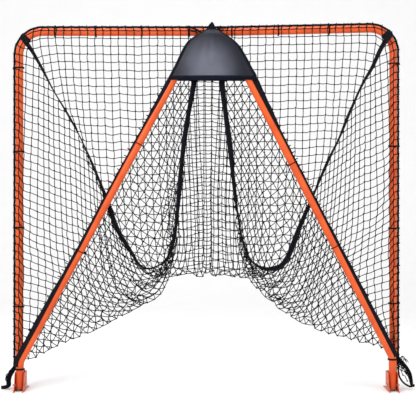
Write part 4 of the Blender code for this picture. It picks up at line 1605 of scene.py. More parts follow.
@dataclass
class BorderRopes:
    """Twisted ropes along the outer side of the tubes, and webbing that binds the net to the V."""

    arch_pitch: float = 0.030
    leg_pitch: float = 0.034
    webbing_width: float = 0.022
    webbing_t: float = 0.0015
    low_z: tuple[float, float] = (0.114, 0.164)
    high_z: float = 1.5315

    def build(self) -> list[Piece]:
        """Make the ropes and the webbing."""
        return [self.arch_rope()] + [self.leg_border(side) for side in Side]

    def arch_rope(self) -> Piece:
        """The arch's border rope, with a short lashing on each side of the cover.

        Returns:
            The rope.
        """
        offset = TUBE_R + ARCH_ROPE_R + 0.0017
        left = ARCH_SHAPE.line(Side.LEFT, offset, ARCH_SHAPE.rope_foot_z, 700)
        right = ARCH_SHAPE.line(Side.RIGHT, offset, ARCH_SHAPE.rope_foot_z, 700)
        path = respace(np.vstack([left[::-1][:-1], right[1:]]), 1300)
        kit = MeshKit()
        braid_rope(kit, path, ARCH_ROPE_R + 0.0016, TO_VIEWER, self.arch_pitch, wobble=0.22)
        front = ARCH_Y - TUBE_R - 0.0045
        for s, reach in ((-1, 0.098), (1, 0.100)):
            top = ARCH_SHAPE.top(s * reach)
            lash = smooth_line([(s * reach, ARCH_Y - 0.010, top + 0.0235),
                                (s * (reach - 0.026), ARCH_Y - 0.019, top + 0.018),
                                (s * (reach - 0.052), front - 0.001, top + 0.008),
                                (s * (reach - 0.074), front, top - 0.006)], 44)
            braid_rope(kit, lash, 0.0042, TO_VIEWER, 0.024)
            for lift in (0.0, 0.010):
                tie = smooth_line([(s * (reach - 0.012), front + 0.006, top + 0.014 - lift),
                                   (s * (reach - 0.035), front - 0.0012, top + 0.002 - lift * 0.4),
                                   (s * (reach - 0.062), front - 0.001, top - 0.010 + lift)], 24)
                kit.sweep(tie, ring_section(0.0014, 6))
        obj = kit.object("arch_border_rope_laid", [Finish.ROPE], Slot.ROPE)
        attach(obj, ARCH)
        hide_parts("arch_border_rope")
        return obj

    def leg_border(self, side: Side) -> Piece:
        """Rope and twisting webbing on the outer side of one leg.

        Args:
            side: which leg.

        Returns:
            The border.
        """
        leg = V_SHAPE.leg(side)[::-1]
        low = side.pick(self.low_z)
        leg = respace(leg[(leg[:, 2] > low) & (leg[:, 2] < self.high_z)], 420)
        face = np.array(V_SHAPE.normal)
        ahead = unit(np.gradient(leg, axis=0))
        out = unit(np.cross(np.tile(face, (len(leg), 1)), ahead))
        out *= np.sign(out[:, :1]) * side.sign
        kit = MeshKit()
        lay = WebbingLay(side)
        values = lay.at(leg[:, 2])
        for row in values:
            for _ in range(60):
                row[1:-1] = (row[:-2] + 2 * row[1:-1] + row[2:]) / 4
        values[1] += 0.0008 * np.sin(leg[:, 2] * 43.0) + 0.0005 * np.sin(leg[:, 2] * 97.0)
        sideways, forward = lay.rope_place(values)
        core = leg + out * sideways[:, None] + face * forward[:, None]
        braid_rope(kit, core, V_ROPE_R - 0.0006, V_SHAPE.normal, self.leg_pitch, wobble=0.12)
        inner, outer = (leg + out * p[0][:, None] + face * p[1][:, None] for p in lay.edge_points(values))
        across = unit(outer - inner)
        normal = unit(np.cross(across, ahead))
        normal *= np.sign(np.sum(normal * face, axis=1, keepdims=True))
        share = np.linalg.norm(outer - inner, axis=1) / self.webbing_width
        section = strap_section(self.webbing_width, self.webbing_t)
        if side is Side.LEFT:
            across = -across
        kit.sweep((inner + outer) / 2, section, (ahead, across, normal), scale=share, slot=1,
                  round_size=2 * self.webbing_width)
        obj = kit.object("v_border_" + side.value + "_webbing", [Finish.ROPE, Finish.WEBBING], Slot.WEBBING)
        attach(obj, V_FRAME)
        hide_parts("v_border_rope_" + side.value)
        return obj


# ---- the net

def follow(corner_share: Array | float, apex_share: Array | float) -> Array:
    """How far a point of the net follows the V frame.

    The net spans the angle between the two frames. A point's share of the open angle comes from
    how much of it hangs from the arch's top corner and how much from the V's apex.

    Args:
        corner_share: share of the arch's corner, 0 to 1.
        apex_share: share of the V's apex, 0 to 1.

    Returns:
        0 on the arch, 1 on the V frame.
    """
    return np.arctan2(np.asarray(apex_share) * 1.75, np.asarray(corner_share) * 1.72) / (math.pi / 2)


def layer_depth(weight: Array | float) -> Array:
    """Y of the slack net: back layer near the arch, front layer near the V."""
    share = 0.5 - np.sin(np.arcsin(1 - 2 * np.clip(weight, 0, 1)) / 3)
    return BACK_Y + (FRONT_Y - BACK_Y) * share


@dataclass
class SeamTape:
    """Webbing sewn along the seam of two net panels, from a top corner down and up to the apex."""

    side: Side
    width: float = 0.0275
    thickness: float = 0.0015
    rows: int = 260
    outlines: tuple = (((-0.917, 1.752), (-0.868, 1.684), (-0.8055, 1.572), (-0.7615, 1.486),
                        (-0.6735, 1.34), (-0.606, 1.208), (-0.554, 1.088), (-0.5075, 0.975),
                        (-0.4835, 0.908), (-0.4445, 0.7965), (-0.396, 0.717), (-0.355, 0.653),
                        (-0.3395, 0.6185), (-0.300, 0.592), (-0.248, 0.6065), (-0.202, 0.637),
                        (-0.1765, 0.6805), (-0.1615, 0.740), (-0.1465, 0.8425), (-0.133, 1.0085),
                        (-0.1165, 1.175), (-0.094, 1.34), (-0.0655, 1.49), (-0.052, 1.62), (-0.012, 1.755)),
                       ((0.919, 1.765), (0.871, 1.700), (0.8255, 1.597), (0.7765, 1.517), (0.698, 1.34),
                        (0.6615, 1.247), (0.6055, 1.135), (0.5325, 0.965), (0.506, 0.9025), (0.466, 0.81),
                        (0.440, 0.740), (0.417, 0.680), (0.3915, 0.628), (0.355, 0.596), (0.3175, 0.594),
                        (0.2715, 0.602), (0.2255, 0.630), (0.197, 0.685), (0.171, 0.7765),
                        (0.1545, 0.876), (0.131, 1.075), (0.118, 1.2075), (0.100, 1.34), (0.081, 1.49),
                        (0.068, 1.62), (0.035, 1.755)))
    twists: tuple = (((0, 10), (0.04, 45), (0.1, 68), (0.28, 66), (0.36, 34), (0.43, 26), (0.475, 52),
                      (0.50, 67), (0.58, 67), (0.62, 58), (0.67, 45), (0.72, 35), (0.86, 32), (1, 28)),
                     ((0, 10), (0.04, 40), (0.1, 65), (0.33, 68), (0.40, 45), (0.44, 12), (0.49, 30),
                      (0.53, 55), (0.57, 69), (0.645, 69), (0.675, 61), (0.72, 46), (0.765, 22),
                      (0.80, 6), (0.855, 22), (0.90, 5), (1, 0)))

    def __post_init__(self) -> None:
        """Lay the tape's middle line."""
        flat = smooth_line(self.side.pick(self.outlines), 400, rounds=40)
        along = arc_lengths(flat)
        share = along / along[-1]
        weight = follow(1 - share, share)
        self.line = np.stack([flat[:, 0], layer_depth(weight), flat[:, 1]], axis=1)
        self.share = share

    def at(self, share: Array | float) -> Array:
        """Point of the tape's middle line at a share of its length."""
        return np.stack([np.interp(share, self.share, self.line[:, k]) for k in range(3)], axis=-1)

    def build(self) -> Piece:
        """Make the twisting tape with its two rows of stitches.

        Returns:
            The tape.
        """
        share = np.linspace(0, 1, self.rows)
        path = self.at(share)
        ahead = unit(np.gradient(path, axis=0))
        flat = np.tile(np.array((0.0, -1.0, 0.0)), (self.rows, 1))
        flat = unit(flat - ahead * np.sum(flat * ahead, axis=1)[:, None])
        side = np.cross(ahead, flat)
        keys = smooth_line(self.side.pick(self.twists), 200)
        turn = np.interp(share, keys[:, 0], np.radians(keys[:, 1])) + 0.10 * np.sin(share * 61.0)
        c, s = np.cos(turn)[:, None], np.sin(turn)[:, None]
        normal, across = flat * c + side * s, side * c - flat * s
        weight = follow(1 - share, share)
        kit = MeshKit()
        kit.sweep(path, strap_section(self.width, self.thickness), (ahead, across, normal), weight=weight,
                  round_size=2 * self.width)
        for edge in (-0.38, 0.38):
            line = path + across * (edge * self.width) + normal * (self.thickness * 0.5)
            sew(kit, line, ring_section(0.0004, 4), weight)
        obj = kit.object("seam_tape_" + self.side.value + "_webbing", [Finish.WEBBING, Finish.STITCH],
                         Slot.WEBBING, smooth=60)
        kit.follow_weights(obj, HINGE)
        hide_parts("seam_tape_" + self.side.value)
        return obj


class Panel(Enum):
    """The net's three panels."""

    LEFT = "left"
    RIGHT = "right"
    BACK = "back"


@dataclass
class NetGrid:
    """Knots and strands of one panel, each knot a mass point."""

    panel: Panel
    places: list = field(default_factory=list)
    pinned: list = field(default_factory=list)
    weights: list = field(default_factory=list)
    firm: list = field(default_factory=list)
    strands: list = field(default_factory=lambda: [[] for _ in range(4)])
    crosses: list = field(default_factory=lambda: [[] for _ in range(4)])

    def knot(self, place: Array, pinned: bool, weight: float, firm: float = 0.0) -> int:
        """Add a knot.

        Args:
            place: where it is.
            pinned: tied or sewn, so it can't move.
            weight: how far it follows the V frame.
            firm: 1 where the panel lies in a clean fold.

        Returns:
            The knot's number.
        """
        self.firm.append(firm)
        self.places.append(np.asarray(place, float))
        self.pinned.append(pinned)
        self.weights.append(float(weight))
        return len(self.places) - 1

    def strand(self, group: int, a: int, b: int, length: float) -> None:
        """Join two knots by a strand of a given length."""
        self.strands[group].append((a, b, length))

    def cross(self, index: dict[tuple[int, int], int]) -> None:
        """Note the diagonals that keep cells from closing up.

        Args:
            index: knot numbers by column and row.
        """
        for (i, j), a in index.items():
            for dj, base in ((1, 0), (-1, 2)):
                b = index.get((i + 1, j + dj))
                if b is not None:
                    self.crosses[base + i % 2].append((a, b))


class Links:
    """Pairs of knots, none used twice, that stay between a least and a greatest distance."""

    push = 0.25

    def __init__(self, a: Array, b: Array, mass: Array, most: Array, least: Array, pull: float = 1.0) -> None:
        """Note the pairs and how the two knots of each share a correction.

        Args:
            a: first knots.
            b: second knots.
            mass: 1 for a free knot and 0 for a pinned one.
            most: greatest distances.
            least: least distances.
            pull: share of an overlong distance taken up at once.
        """
        both = np.maximum(mass[a] + mass[b], 1e-9)
        self.a, self.b, self.most, self.least, self.pull = a, b, most, least, pull
        self.share_a, self.share_b = (mass[a] / both)[:, None], (mass[b] / both)[:, None]

    def correct(self, p: Array) -> None:
        """Move the knots that are too far apart or too close.

        Args:
            p: places of all knots, changed in place.
        """
        d = p[self.b] - p[self.a]
        n = np.sqrt((d * d).sum(1)) + 1e-12
        apart = np.where(n < self.least, self.push * (n - self.least) / n, 0.0)
        d *= np.where(n > self.most, self.pull * (n - self.most) / n, apart)[:, None]
        p[self.a] += self.share_a * d
        p[self.b] -= self.share_b * d


@dataclass
class SlackNet:
    """The knotted net: three flat panels of square mesh, hung from the frames by their edges."""

    mesh: float = 0.0390
    post_length: float = 1.69
    leg_length: float = 1.94
    crossbar_length: float = 1.82
    panel_drop: float = 2.407
    twine_r: float = 0.0021
    twine_sides: int = 5
    twine_steps: int = 4
    knot_size: Triple = (0.0043, 0.0030, 0.0043)
    steps: int = 2500
    time_step: float = 1 / 500
    gravity: float = 9.8
    calm: float = 0.985
    half_width: float = 0.936
    side_keep: tuple[float, float] = (0.60, 0.72)
    back_keep: tuple[float, float] = (0.52, 0.58)
    sag_limit: float = 0.0024
    fold: tuple = ((-0.920, 0.106), (-0.893, 0.130), (-0.7465, 0.214), (-0.574, 0.285), (-0.468, 0.340),
                   (-0.3085, 0.423), (-0.2315, 0.458), (-0.205, 0.490), (-0.160, 0.545), (-0.0315, 0.546),
                   (0.090, 0.553), (0.185, 0.556), (0.2365, 0.497), (0.2715, 0.461), (0.340, 0.414),
                   (0.466, 0.336), (0.572, 0.289), (0.6715, 0.250), (0.8045, 0.204), (0.893, 0.180),
                   (0.920, 0.155))
    unevenness: float = 0.02
    fold_angles: tuple[float, float] = (math.radians(27.0), math.radians(22.0))
    foot_z: tuple[float, float] = (0.112, 0.160)
    seed: int = 3

    def post_knot(self, side: Side, share: float) -> Array:
        """Place on the arch where the net crosses the post.

        Args:
            side: which post.
            share: 0 at the foot, 1 in the corner.

        Returns:
            The place.
        """
        shape = ARCH_SHAPE
        low = side.pick(self.foot_z)
        top = shape.top(side.sign * shape.post_x) - 0.002
        straight = top - shape.corner_r - low
        far = share * (straight + math.pi / 4 * shape.corner_r)
        turn = max(0.0, far - straight) / shape.corner_r
        x = shape.post_x - shape.corner_r * (1 - math.cos(turn)) - 0.001
        z = low + min(far, straight) + shape.corner_r * math.sin(turn)
        return np.array((side.sign * x, ARCH_Y - TUBE_R - 0.0026, z))

    def crossbar_knot(self, share: float) -> Array:
        """Place on the arch where the net crosses the crossbar.

        Args:
            share: 0 left, 1 right.

        Returns:
            The place.
        """
        shape = ARCH_SHAPE
        x = -0.9 + 1.8 * share
        over = max(0.0, abs(x) - (shape.post_x - shape.corner_r))
        z = shape.top(x) - (shape.corner_r - math.sqrt(shape.corner_r ** 2 - over ** 2))
        return np.array((x, ARCH_Y - 0.0206, z + 0.0062))

    def leg_knot(self, side: Side, share: float) -> Array:
        """Place behind a leg of the V where the net crosses it.

        Args:
            side: which leg.
            share: 0 at the foot, 1 at the apex.

        Returns:
            The place.
        """
        low = side.pick(self.foot_z)
        z = low + (1.76 - low) * share
        p = V_SHAPE.centre(side, z)
        return np.array((p.x, p.y + TUBE_R + 0.0026, p.z))

    def side_panel(self, side: Side, tape: SeamTape) -> NetGrid:
        """Lay out a side panel: a right triangle on post and leg, its long side on the seam.

        Args:
            side: left or right.
            tape: the seam's tape.

        Returns:
            The panel's knots and strands.
        """
        grid = NetGrid(Panel(side.value))
        ni, nj = self.leg_length / self.mesh, self.post_length / self.mesh
        foot = np.array((side.sign * 0.90, (BACK_Y + FRONT_Y) / 2, 0.12))
        index: dict[tuple[int, int], int] = {}
        for i in range(int(ni) + 2):
            for j in range(int(nj) + 2):
                c, b = i / ni, j / nj
                if c + b > 1 - 0.15 / nj:
                    continue
                if i == 0:
                    index[i, j] = grid.knot(self.post_knot(side, b), True, 0.0)
                elif j == 0:
                    index[i, j] = grid.knot(self.leg_knot(side, c), True, 1.0)
                else:
                    seam = tape.at(c / (c + b))
                    spread = min(1.0, max(0.0, (c + b - 0.50) / 0.45))
                    spread = spread * spread * (3 - 2 * spread)
                    place = foot + (c + b) * (seam - foot)
                    place = place * spread + self.folded(side, c, b) * (1 - spread)
                    firm = min(1.0, max(0.0, (0.68 - c - b) / 0.36))
                    index[i, j] = grid.knot(place, False, follow(b, c), firm)
        for (i, j), a in list(index.items()):
            for di, dj, group in ((1, 0, i % 2), (0, 1, 2 + j % 2)):
                b = index.get((i + di, j + dj))
                if b is not None:
                    grid.strand(group, a, b, self.mesh)
                    continue
                fi, fj = (ni * (1 - j / nj), j) if di else (i, nj * (1 - i / ni))
                share = (fi / ni) / (fi / ni + fj / nj)
                end = grid.knot(tape.at(share), True, follow(1 - share, share))
                left = (fi - i if di else fj - j) * self.mesh
                grid.strand(group, a, end, max(left, 0.2 * self.mesh))
        grid.cross(index)
        return grid

    def folded(self, side: Side, c: float, b: float) -> Array:
        """Place of a side panel's point when its foot corner is folded flat in two between post and leg.

        Args:
            side: left or right.
            c: share of the way along the leg's edge.
            b: share of the way up the post's edge.

        Returns:
            The place.
        """
        across, up = c * self.leg_length, b * self.post_length
        turn = math.atan2(up, across)
        leg = math.atan(1 / V_SHAPE.slope(side))
        crease = leg / 2
        low = side.pick(self.fold_angles)
        if turn > crease:
            angle = math.pi / 2 - (math.pi / 2 - turn) * (math.pi / 2 - low) / (math.pi / 2 - crease)
        else:
            angle = leg - turn * (leg - low) / crease
        r = math.hypot(across, up)
        return np.array((side.sign * (0.925 - r * math.cos(angle)), (BACK_Y + FRONT_Y) / 2,
                         side.pick(self.foot_z) + r * math.sin(angle)))

    def back_panel(self, tapes: dict[Side, SeamTape]) -> NetGrid:
        """Lay out the back panel: a triangle hung from the crossbar, its two long sides on the seams.

        Args:
            tapes: the seams' tapes.

        Returns:
            The panel's knots and strands.
        """
        grid = NetGrid(Panel.BACK)
        ni, nj = self.crossbar_length / self.mesh, self.panel_drop / self.mesh
        index: dict[tuple[int, int], int] = {}
        for j in range(int(nj) + 1):
            drop = j / nj
            half = ni / 2 * (1 - drop)
            ends = tapes[Side.LEFT].at(drop), tapes[Side.RIGHT].at(drop)
            for i in range(int(ni) + 1):
                if abs(i - ni / 2) > half - 0.15:
                    continue
                if j == 0:
                    index[i, j] = grid.knot(self.crossbar_knot(i / ni), True, 0.0)
                    continue
                share = (i - ni / 2) / (2 * half) + 0.5
                place = ends[0] + (ends[1] - ends[0]) * share
                index[i, j] = grid.knot(place, False, follow(1 - drop, drop))
        for (i, j), a in list(index.items()):
            if (i + 1, j) in index:
                grid.strand(i % 2, a, index[i + 1, j], self.mesh)
            drop = j / nj
            for sign, side in ((-1, Side.LEFT), (1, Side.RIGHT)):
                if (i + sign, j) not in index:
                    end = grid.knot(tapes[side].at(drop), True, follow(1 - drop, drop))
                    left = (ni / 2 * (1 - drop) - abs(i - ni / 2)) * self.mesh
                    group = i % 2 if sign > 0 else (i - 1) % 2
                    grid.strand(group, a, end, max(left, 0.2 * self.mesh))
            if (i, j + 1) in index:
                grid.strand(2 + j % 2, a, index[i, j + 1], self.mesh)
            else:
                reach = 1 - abs(i - ni / 2) / (ni / 2)
                side = Side.LEFT if i < ni / 2 else Side.RIGHT
                end = grid.knot(tapes[side].at(reach), True, follow(1 - reach, reach))
                grid.strand(2 + j % 2, a, end, max((reach * nj - j) * self.mesh, 0.2 * self.mesh))
        grid.cross(index)
        return grid

    def settle(self, grid: NetGrid) -> Array:
        """Let the panel hang: strands can't stretch, resist closing up, and pull down by weight.

        Args:
            grid: the panel.

        Returns:
            The knots' resting places.
        """
        rng = np.random.default_rng(self.seed)
        p = np.array(grid.places)
        free = ~np.array(grid.pinned)
        depth = layer_depth(np.array(grid.weights))
        p[free, 1] = depth[free]
        p[free] += rng.normal(0, 0.0012, (int(free.sum()), 3))
        mass = free.astype(float)
        firm = np.array(grid.firm)
        front = np.clip((np.array(grid.weights) - 0.35) / 0.25, 0.0, 1.0) * (grid.panel is not Panel.BACK)
        groups = []
        for strands in grid.strands:
            table = np.array(strands, float)
            a, b = table[:, 0].astype(int), table[:, 1].astype(int)
            length = table[:, 2] * (1 + rng.normal(0, self.unevenness, len(table)).clip(-0.07, 0.07))
            keep = self.back_keep[0] + (self.side_keep[0] - self.back_keep[0]) * front[a]
            least = length * (keep + (0.90 - keep) * np.minimum(firm[a], firm[b]))
            groups.append(Links(a, b, mass, length, least))
        cells = []
        for crosses in grid.crosses:
            a, b = np.array(crosses, int).T
            keep = self.back_keep[1] + (self.side_keep[1] - self.back_keep[1]) * front[a]
            held = np.minimum(firm[a], firm[b])
            least = self.mesh * (keep + (1.30 - 0.10 * front[a] - keep) * held)
            most = self.mesh * (2.0 - (0.50 - 0.12 * front[a]) * held)
            cells.append(Links(a, b, mass, most, least, 0.6))
        fold = np.array(self.fold)
        speed = np.zeros_like(p)
        for step in range(self.steps):
            speed[free, 2] -= self.gravity * self.time_step
            speed *= self.calm
            before = p.copy()
            p[free] += speed[free] * self.time_step
            for links in groups + (cells if step % 2 == 0 else []):
                links.correct(p)
            floor = np.interp(p[:, 0], fold[:, 0], fold[:, 1])
            low = free & (p[:, 2] < floor) & ((np.abs(p[:, 0]) < 0.80) | (front > 0.5) | (p[:, 2] < 0.105))
            p[low, 2] += 0.5 * (floor[low] - p[low, 2])
            p[free, 0] = np.clip(p[free, 0], -self.half_width, self.half_width)
            p[free, 1] += 0.05 * (depth[free] - p[free, 1])
            speed = (p - before) / self.time_step
        return p

    def twine(self, grid: NetGrid, knots: Array) -> Piece:
        """Draw a settled panel as twine with a knot at every crossing.

        Args:
            grid: the panel.
            knots: its knots' places.

        Returns:
            The panel's object.
        """
        rng = np.random.default_rng(self.seed + 5)
        kit = MeshKit()
        table = np.array([s for group in grid.strands for s in group], float)
        a, b, length = table[:, 0].astype(int), table[:, 1].astype(int), table[:, 2]
        weights = np.array(grid.weights)
        start, end = knots[a], knots[b]
        span = np.linalg.norm(end - start, axis=1)
        slack = np.clip(1 - span / np.maximum(length, 1e-6), 0.0, 0.5)
        sag = np.minimum(length * np.sqrt(0.375 * slack), self.sag_limit)
        ahead = unit(end - start)
        down = np.array((0.0, 0.0, -1.0)) - ahead * (ahead @ np.array((0.0, 0.0, -1.0)))[:, None]
        fall = np.linalg.norm(down, axis=1, keepdims=True)
        sideways = np.cross(ahead, np.array((0.0, 1.0, 0.0)))
        lean = sideways * (rng.choice((-1.0, 1.0), len(a)) * (1 - fall[:, 0]))[:, None]
        bow = unit(down + lean + 1e-9) + rng.normal(0, 0.12, (len(a), 3)) * np.array((1.0, 0.15, 1.0))
        up = unit(np.cross(ahead, np.array((0.0, 1.0, 0.0))))
        out = np.cross(ahead, up)
        n, steps = self.twine_sides, self.twine_steps
        ring = ring_section(self.twine_r, n)
        rows = []
        for k in range(steps + 1):
            t = k / steps
            rows.append(start + (end - start) * t + bow * (4 * sag * t * (1 - t))[:, None])
        rows = np.stack(rows, axis=1)
        shape = (ring[None, None, :, :1] * up[:, None, None, :]
                 + ring[None, None, :, 1:] * out[:, None, None, :])
        points = (rows[:, :, None, :] + shape).reshape(-1, 3)
        tone = (weights[a][:, None] + (weights[b] - weights[a])[:, None] * np.linspace(0, 1, steps + 1))
        faces, lays = [], []
        for s in range(len(a)):
            base = s * n * (steps + 1)
            for i in range(steps):
                u0, u1 = i / steps * length[s], (i + 1) / steps * length[s]
                for k in range(n):
                    m = (k + 1) % n
                    faces.append((base + i * n + k, base + i * n + m, base + (i + 1) * n + m,
                                  base + (i + 1) * n + k))
                    lays += [(u0, k / n), (u0, (k + 1) / n), (u1, (k + 1) / n), (u1, k / n)]
        kit.add(points, faces, lays, 0, np.repeat(tone.ravel(), n))
        for place, weight, pinned in zip(knots, weights, grid.pinned):
            size = np.array(self.knot_size) * (0.90 + 0.24 * rng.random())
            if pinned:
                size = size * 0.95
            body, sides = lump(place, size, 6)
            kit.add(body, sides, weight=weight)
        word = grid.panel.value
        obj = kit.object("net_" + word + "_twine", [Finish.NET], Slot.NET, smooth=80)
        kit.follow_weights(obj, HINGE)
        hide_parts("net_" + word)
        return obj

    def wraps(self, grid: NetGrid, knots: Array) -> list[Piece]:
        """Carry the panel's edge knots round the tubes to the border ropes.

        Args:
            grid: the panel.
            knots: its knots' places.

        Returns:
            One piece on the arch and, for a side panel, one on the V frame.
        """
        made = []
        word = grid.panel.value
        rng = np.random.default_rng(self.seed + 9)
        for body, weight in ((ARCH, 0.0), (V_FRAME, 1.0)):
            kit = MeshKit()
            for place, w, pinned in zip(knots, grid.weights, grid.pinned):
                if not pinned or w != weight:
                    continue
                line = self.wrap_line(Vector(place), body, rng)
                if line is not None:
                    kit.sweep(line, ring_section(self.twine_r, 6))
            if kit.count:
                obj = kit.object("net_" + word + "_edge_on_" + body, [Finish.NET], Slot.NET)
                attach(obj, body)
                made.append(obj)
        return made

    def wrap_line(self, place: Vector, body: str, rng: np.random.Generator) -> Array | None:
        """Line of one edge strand, from its knot over the tube and round the border rope.

        Args:
            place: the edge knot.
            body: the frame it is tied to.
            rng: source of small differences.

        Returns:
            Its points, or None where there is no rope.
        """
        if body == ARCH:
            centre, out, along = self.arch_place(place)
            face, rope_r = Vector((0.0, -1.0, 0.0)), ARCH_ROPE_R
            slant = 0.006
        else:
            if not 0.20 < place.z < 1.49:
                return None
            side = Side.LEFT if place.x < V_SHAPE.apex_x else Side.RIGHT
            centre, out, along = V_SHAPE.centre(side, place.z), V_SHAPE.outward(side, place.z), \
                V_SHAPE.along(side, place.z)
            face, rope_r = -Vector(V_SHAPE.normal), V_ROPE_R
            slant = 0.004
        gap = place - centre
        first = math.atan2(gap.dot(face), gap.dot(out))
        reach = TUBE_R + self.twine_r + 0.0005
        peek = rope_r + self.twine_r + 0.0006 + abs(rng.normal(0, 0.0012 if body == ARCH else 0.0030))
        rope = TUBE_R + rope_r + 0.0006
        points = []
        for t in np.linspace(first, 0.42, 7):
            q = (first - t) / max(first - 0.42, 1e-6)
            points.append(centre + out * (reach * math.cos(t)) + face * (reach * math.sin(t))
                          + along * (slant * q))
        for t in np.linspace(2.2, -2.4, 11):
            points.append(centre + out * (rope + peek * math.cos(t)) + face * (peek * math.sin(t))
                          + along * (slant + 0.0005 * (2.2 - t)))
        return np.array([tuple(p) for p in points])

    def arch_place(self, place: Vector) -> tuple[Vector, Vector, Vector]:
        """Find the stretch of the arch nearest to an edge knot.

        Args:
            place: the edge knot.

        Returns:
            Tube centre, outward direction and direction along.
        """
        shape = ARCH_SHAPE
        side = Side.LEFT if place.x < 0 else Side.RIGHT
        s = side.sign
        corner = Vector((s * (shape.post_x - shape.corner_r), ARCH_Y,
                         shape.top(s * shape.post_x) - 0.002 - shape.corner_r))
        if place.z < corner.z:
            return Vector((s * shape.post_x, ARCH_Y, place.z)), Vector((s, 0, 0)), Vector((0, 0, 1))
        if abs(place.x) < abs(corner.x):
            return Vector((place.x, ARCH_Y, shape.top(place.x))), Vector((0, 0, 1)), Vector((s, 0, 0))
        out = Vector((place.x - corner.x, 0.0, place.z - corner.z)).normalized()
        return corner + out * shape.corner_r, out, Vector((-out.z * s, 0.0, out.x * s))

    def build(self) -> list[Piece]:
        """Make the tapes, the three panels and their edges.

        Returns:
            The net's pieces.
        """
        tapes = {side: SeamTape(side) for side in Side}
        made = [tapes[side].build() for side in Side]
        grids = [self.side_panel(side, tapes[side]) for side in Side] + [self.back_panel(tapes)]
        for grid in grids:
            knots = self.settle(grid)
            made.append(self.twine(grid, knots))
            made += self.wraps(grid, knots)
        return made


# ---- the apex cover

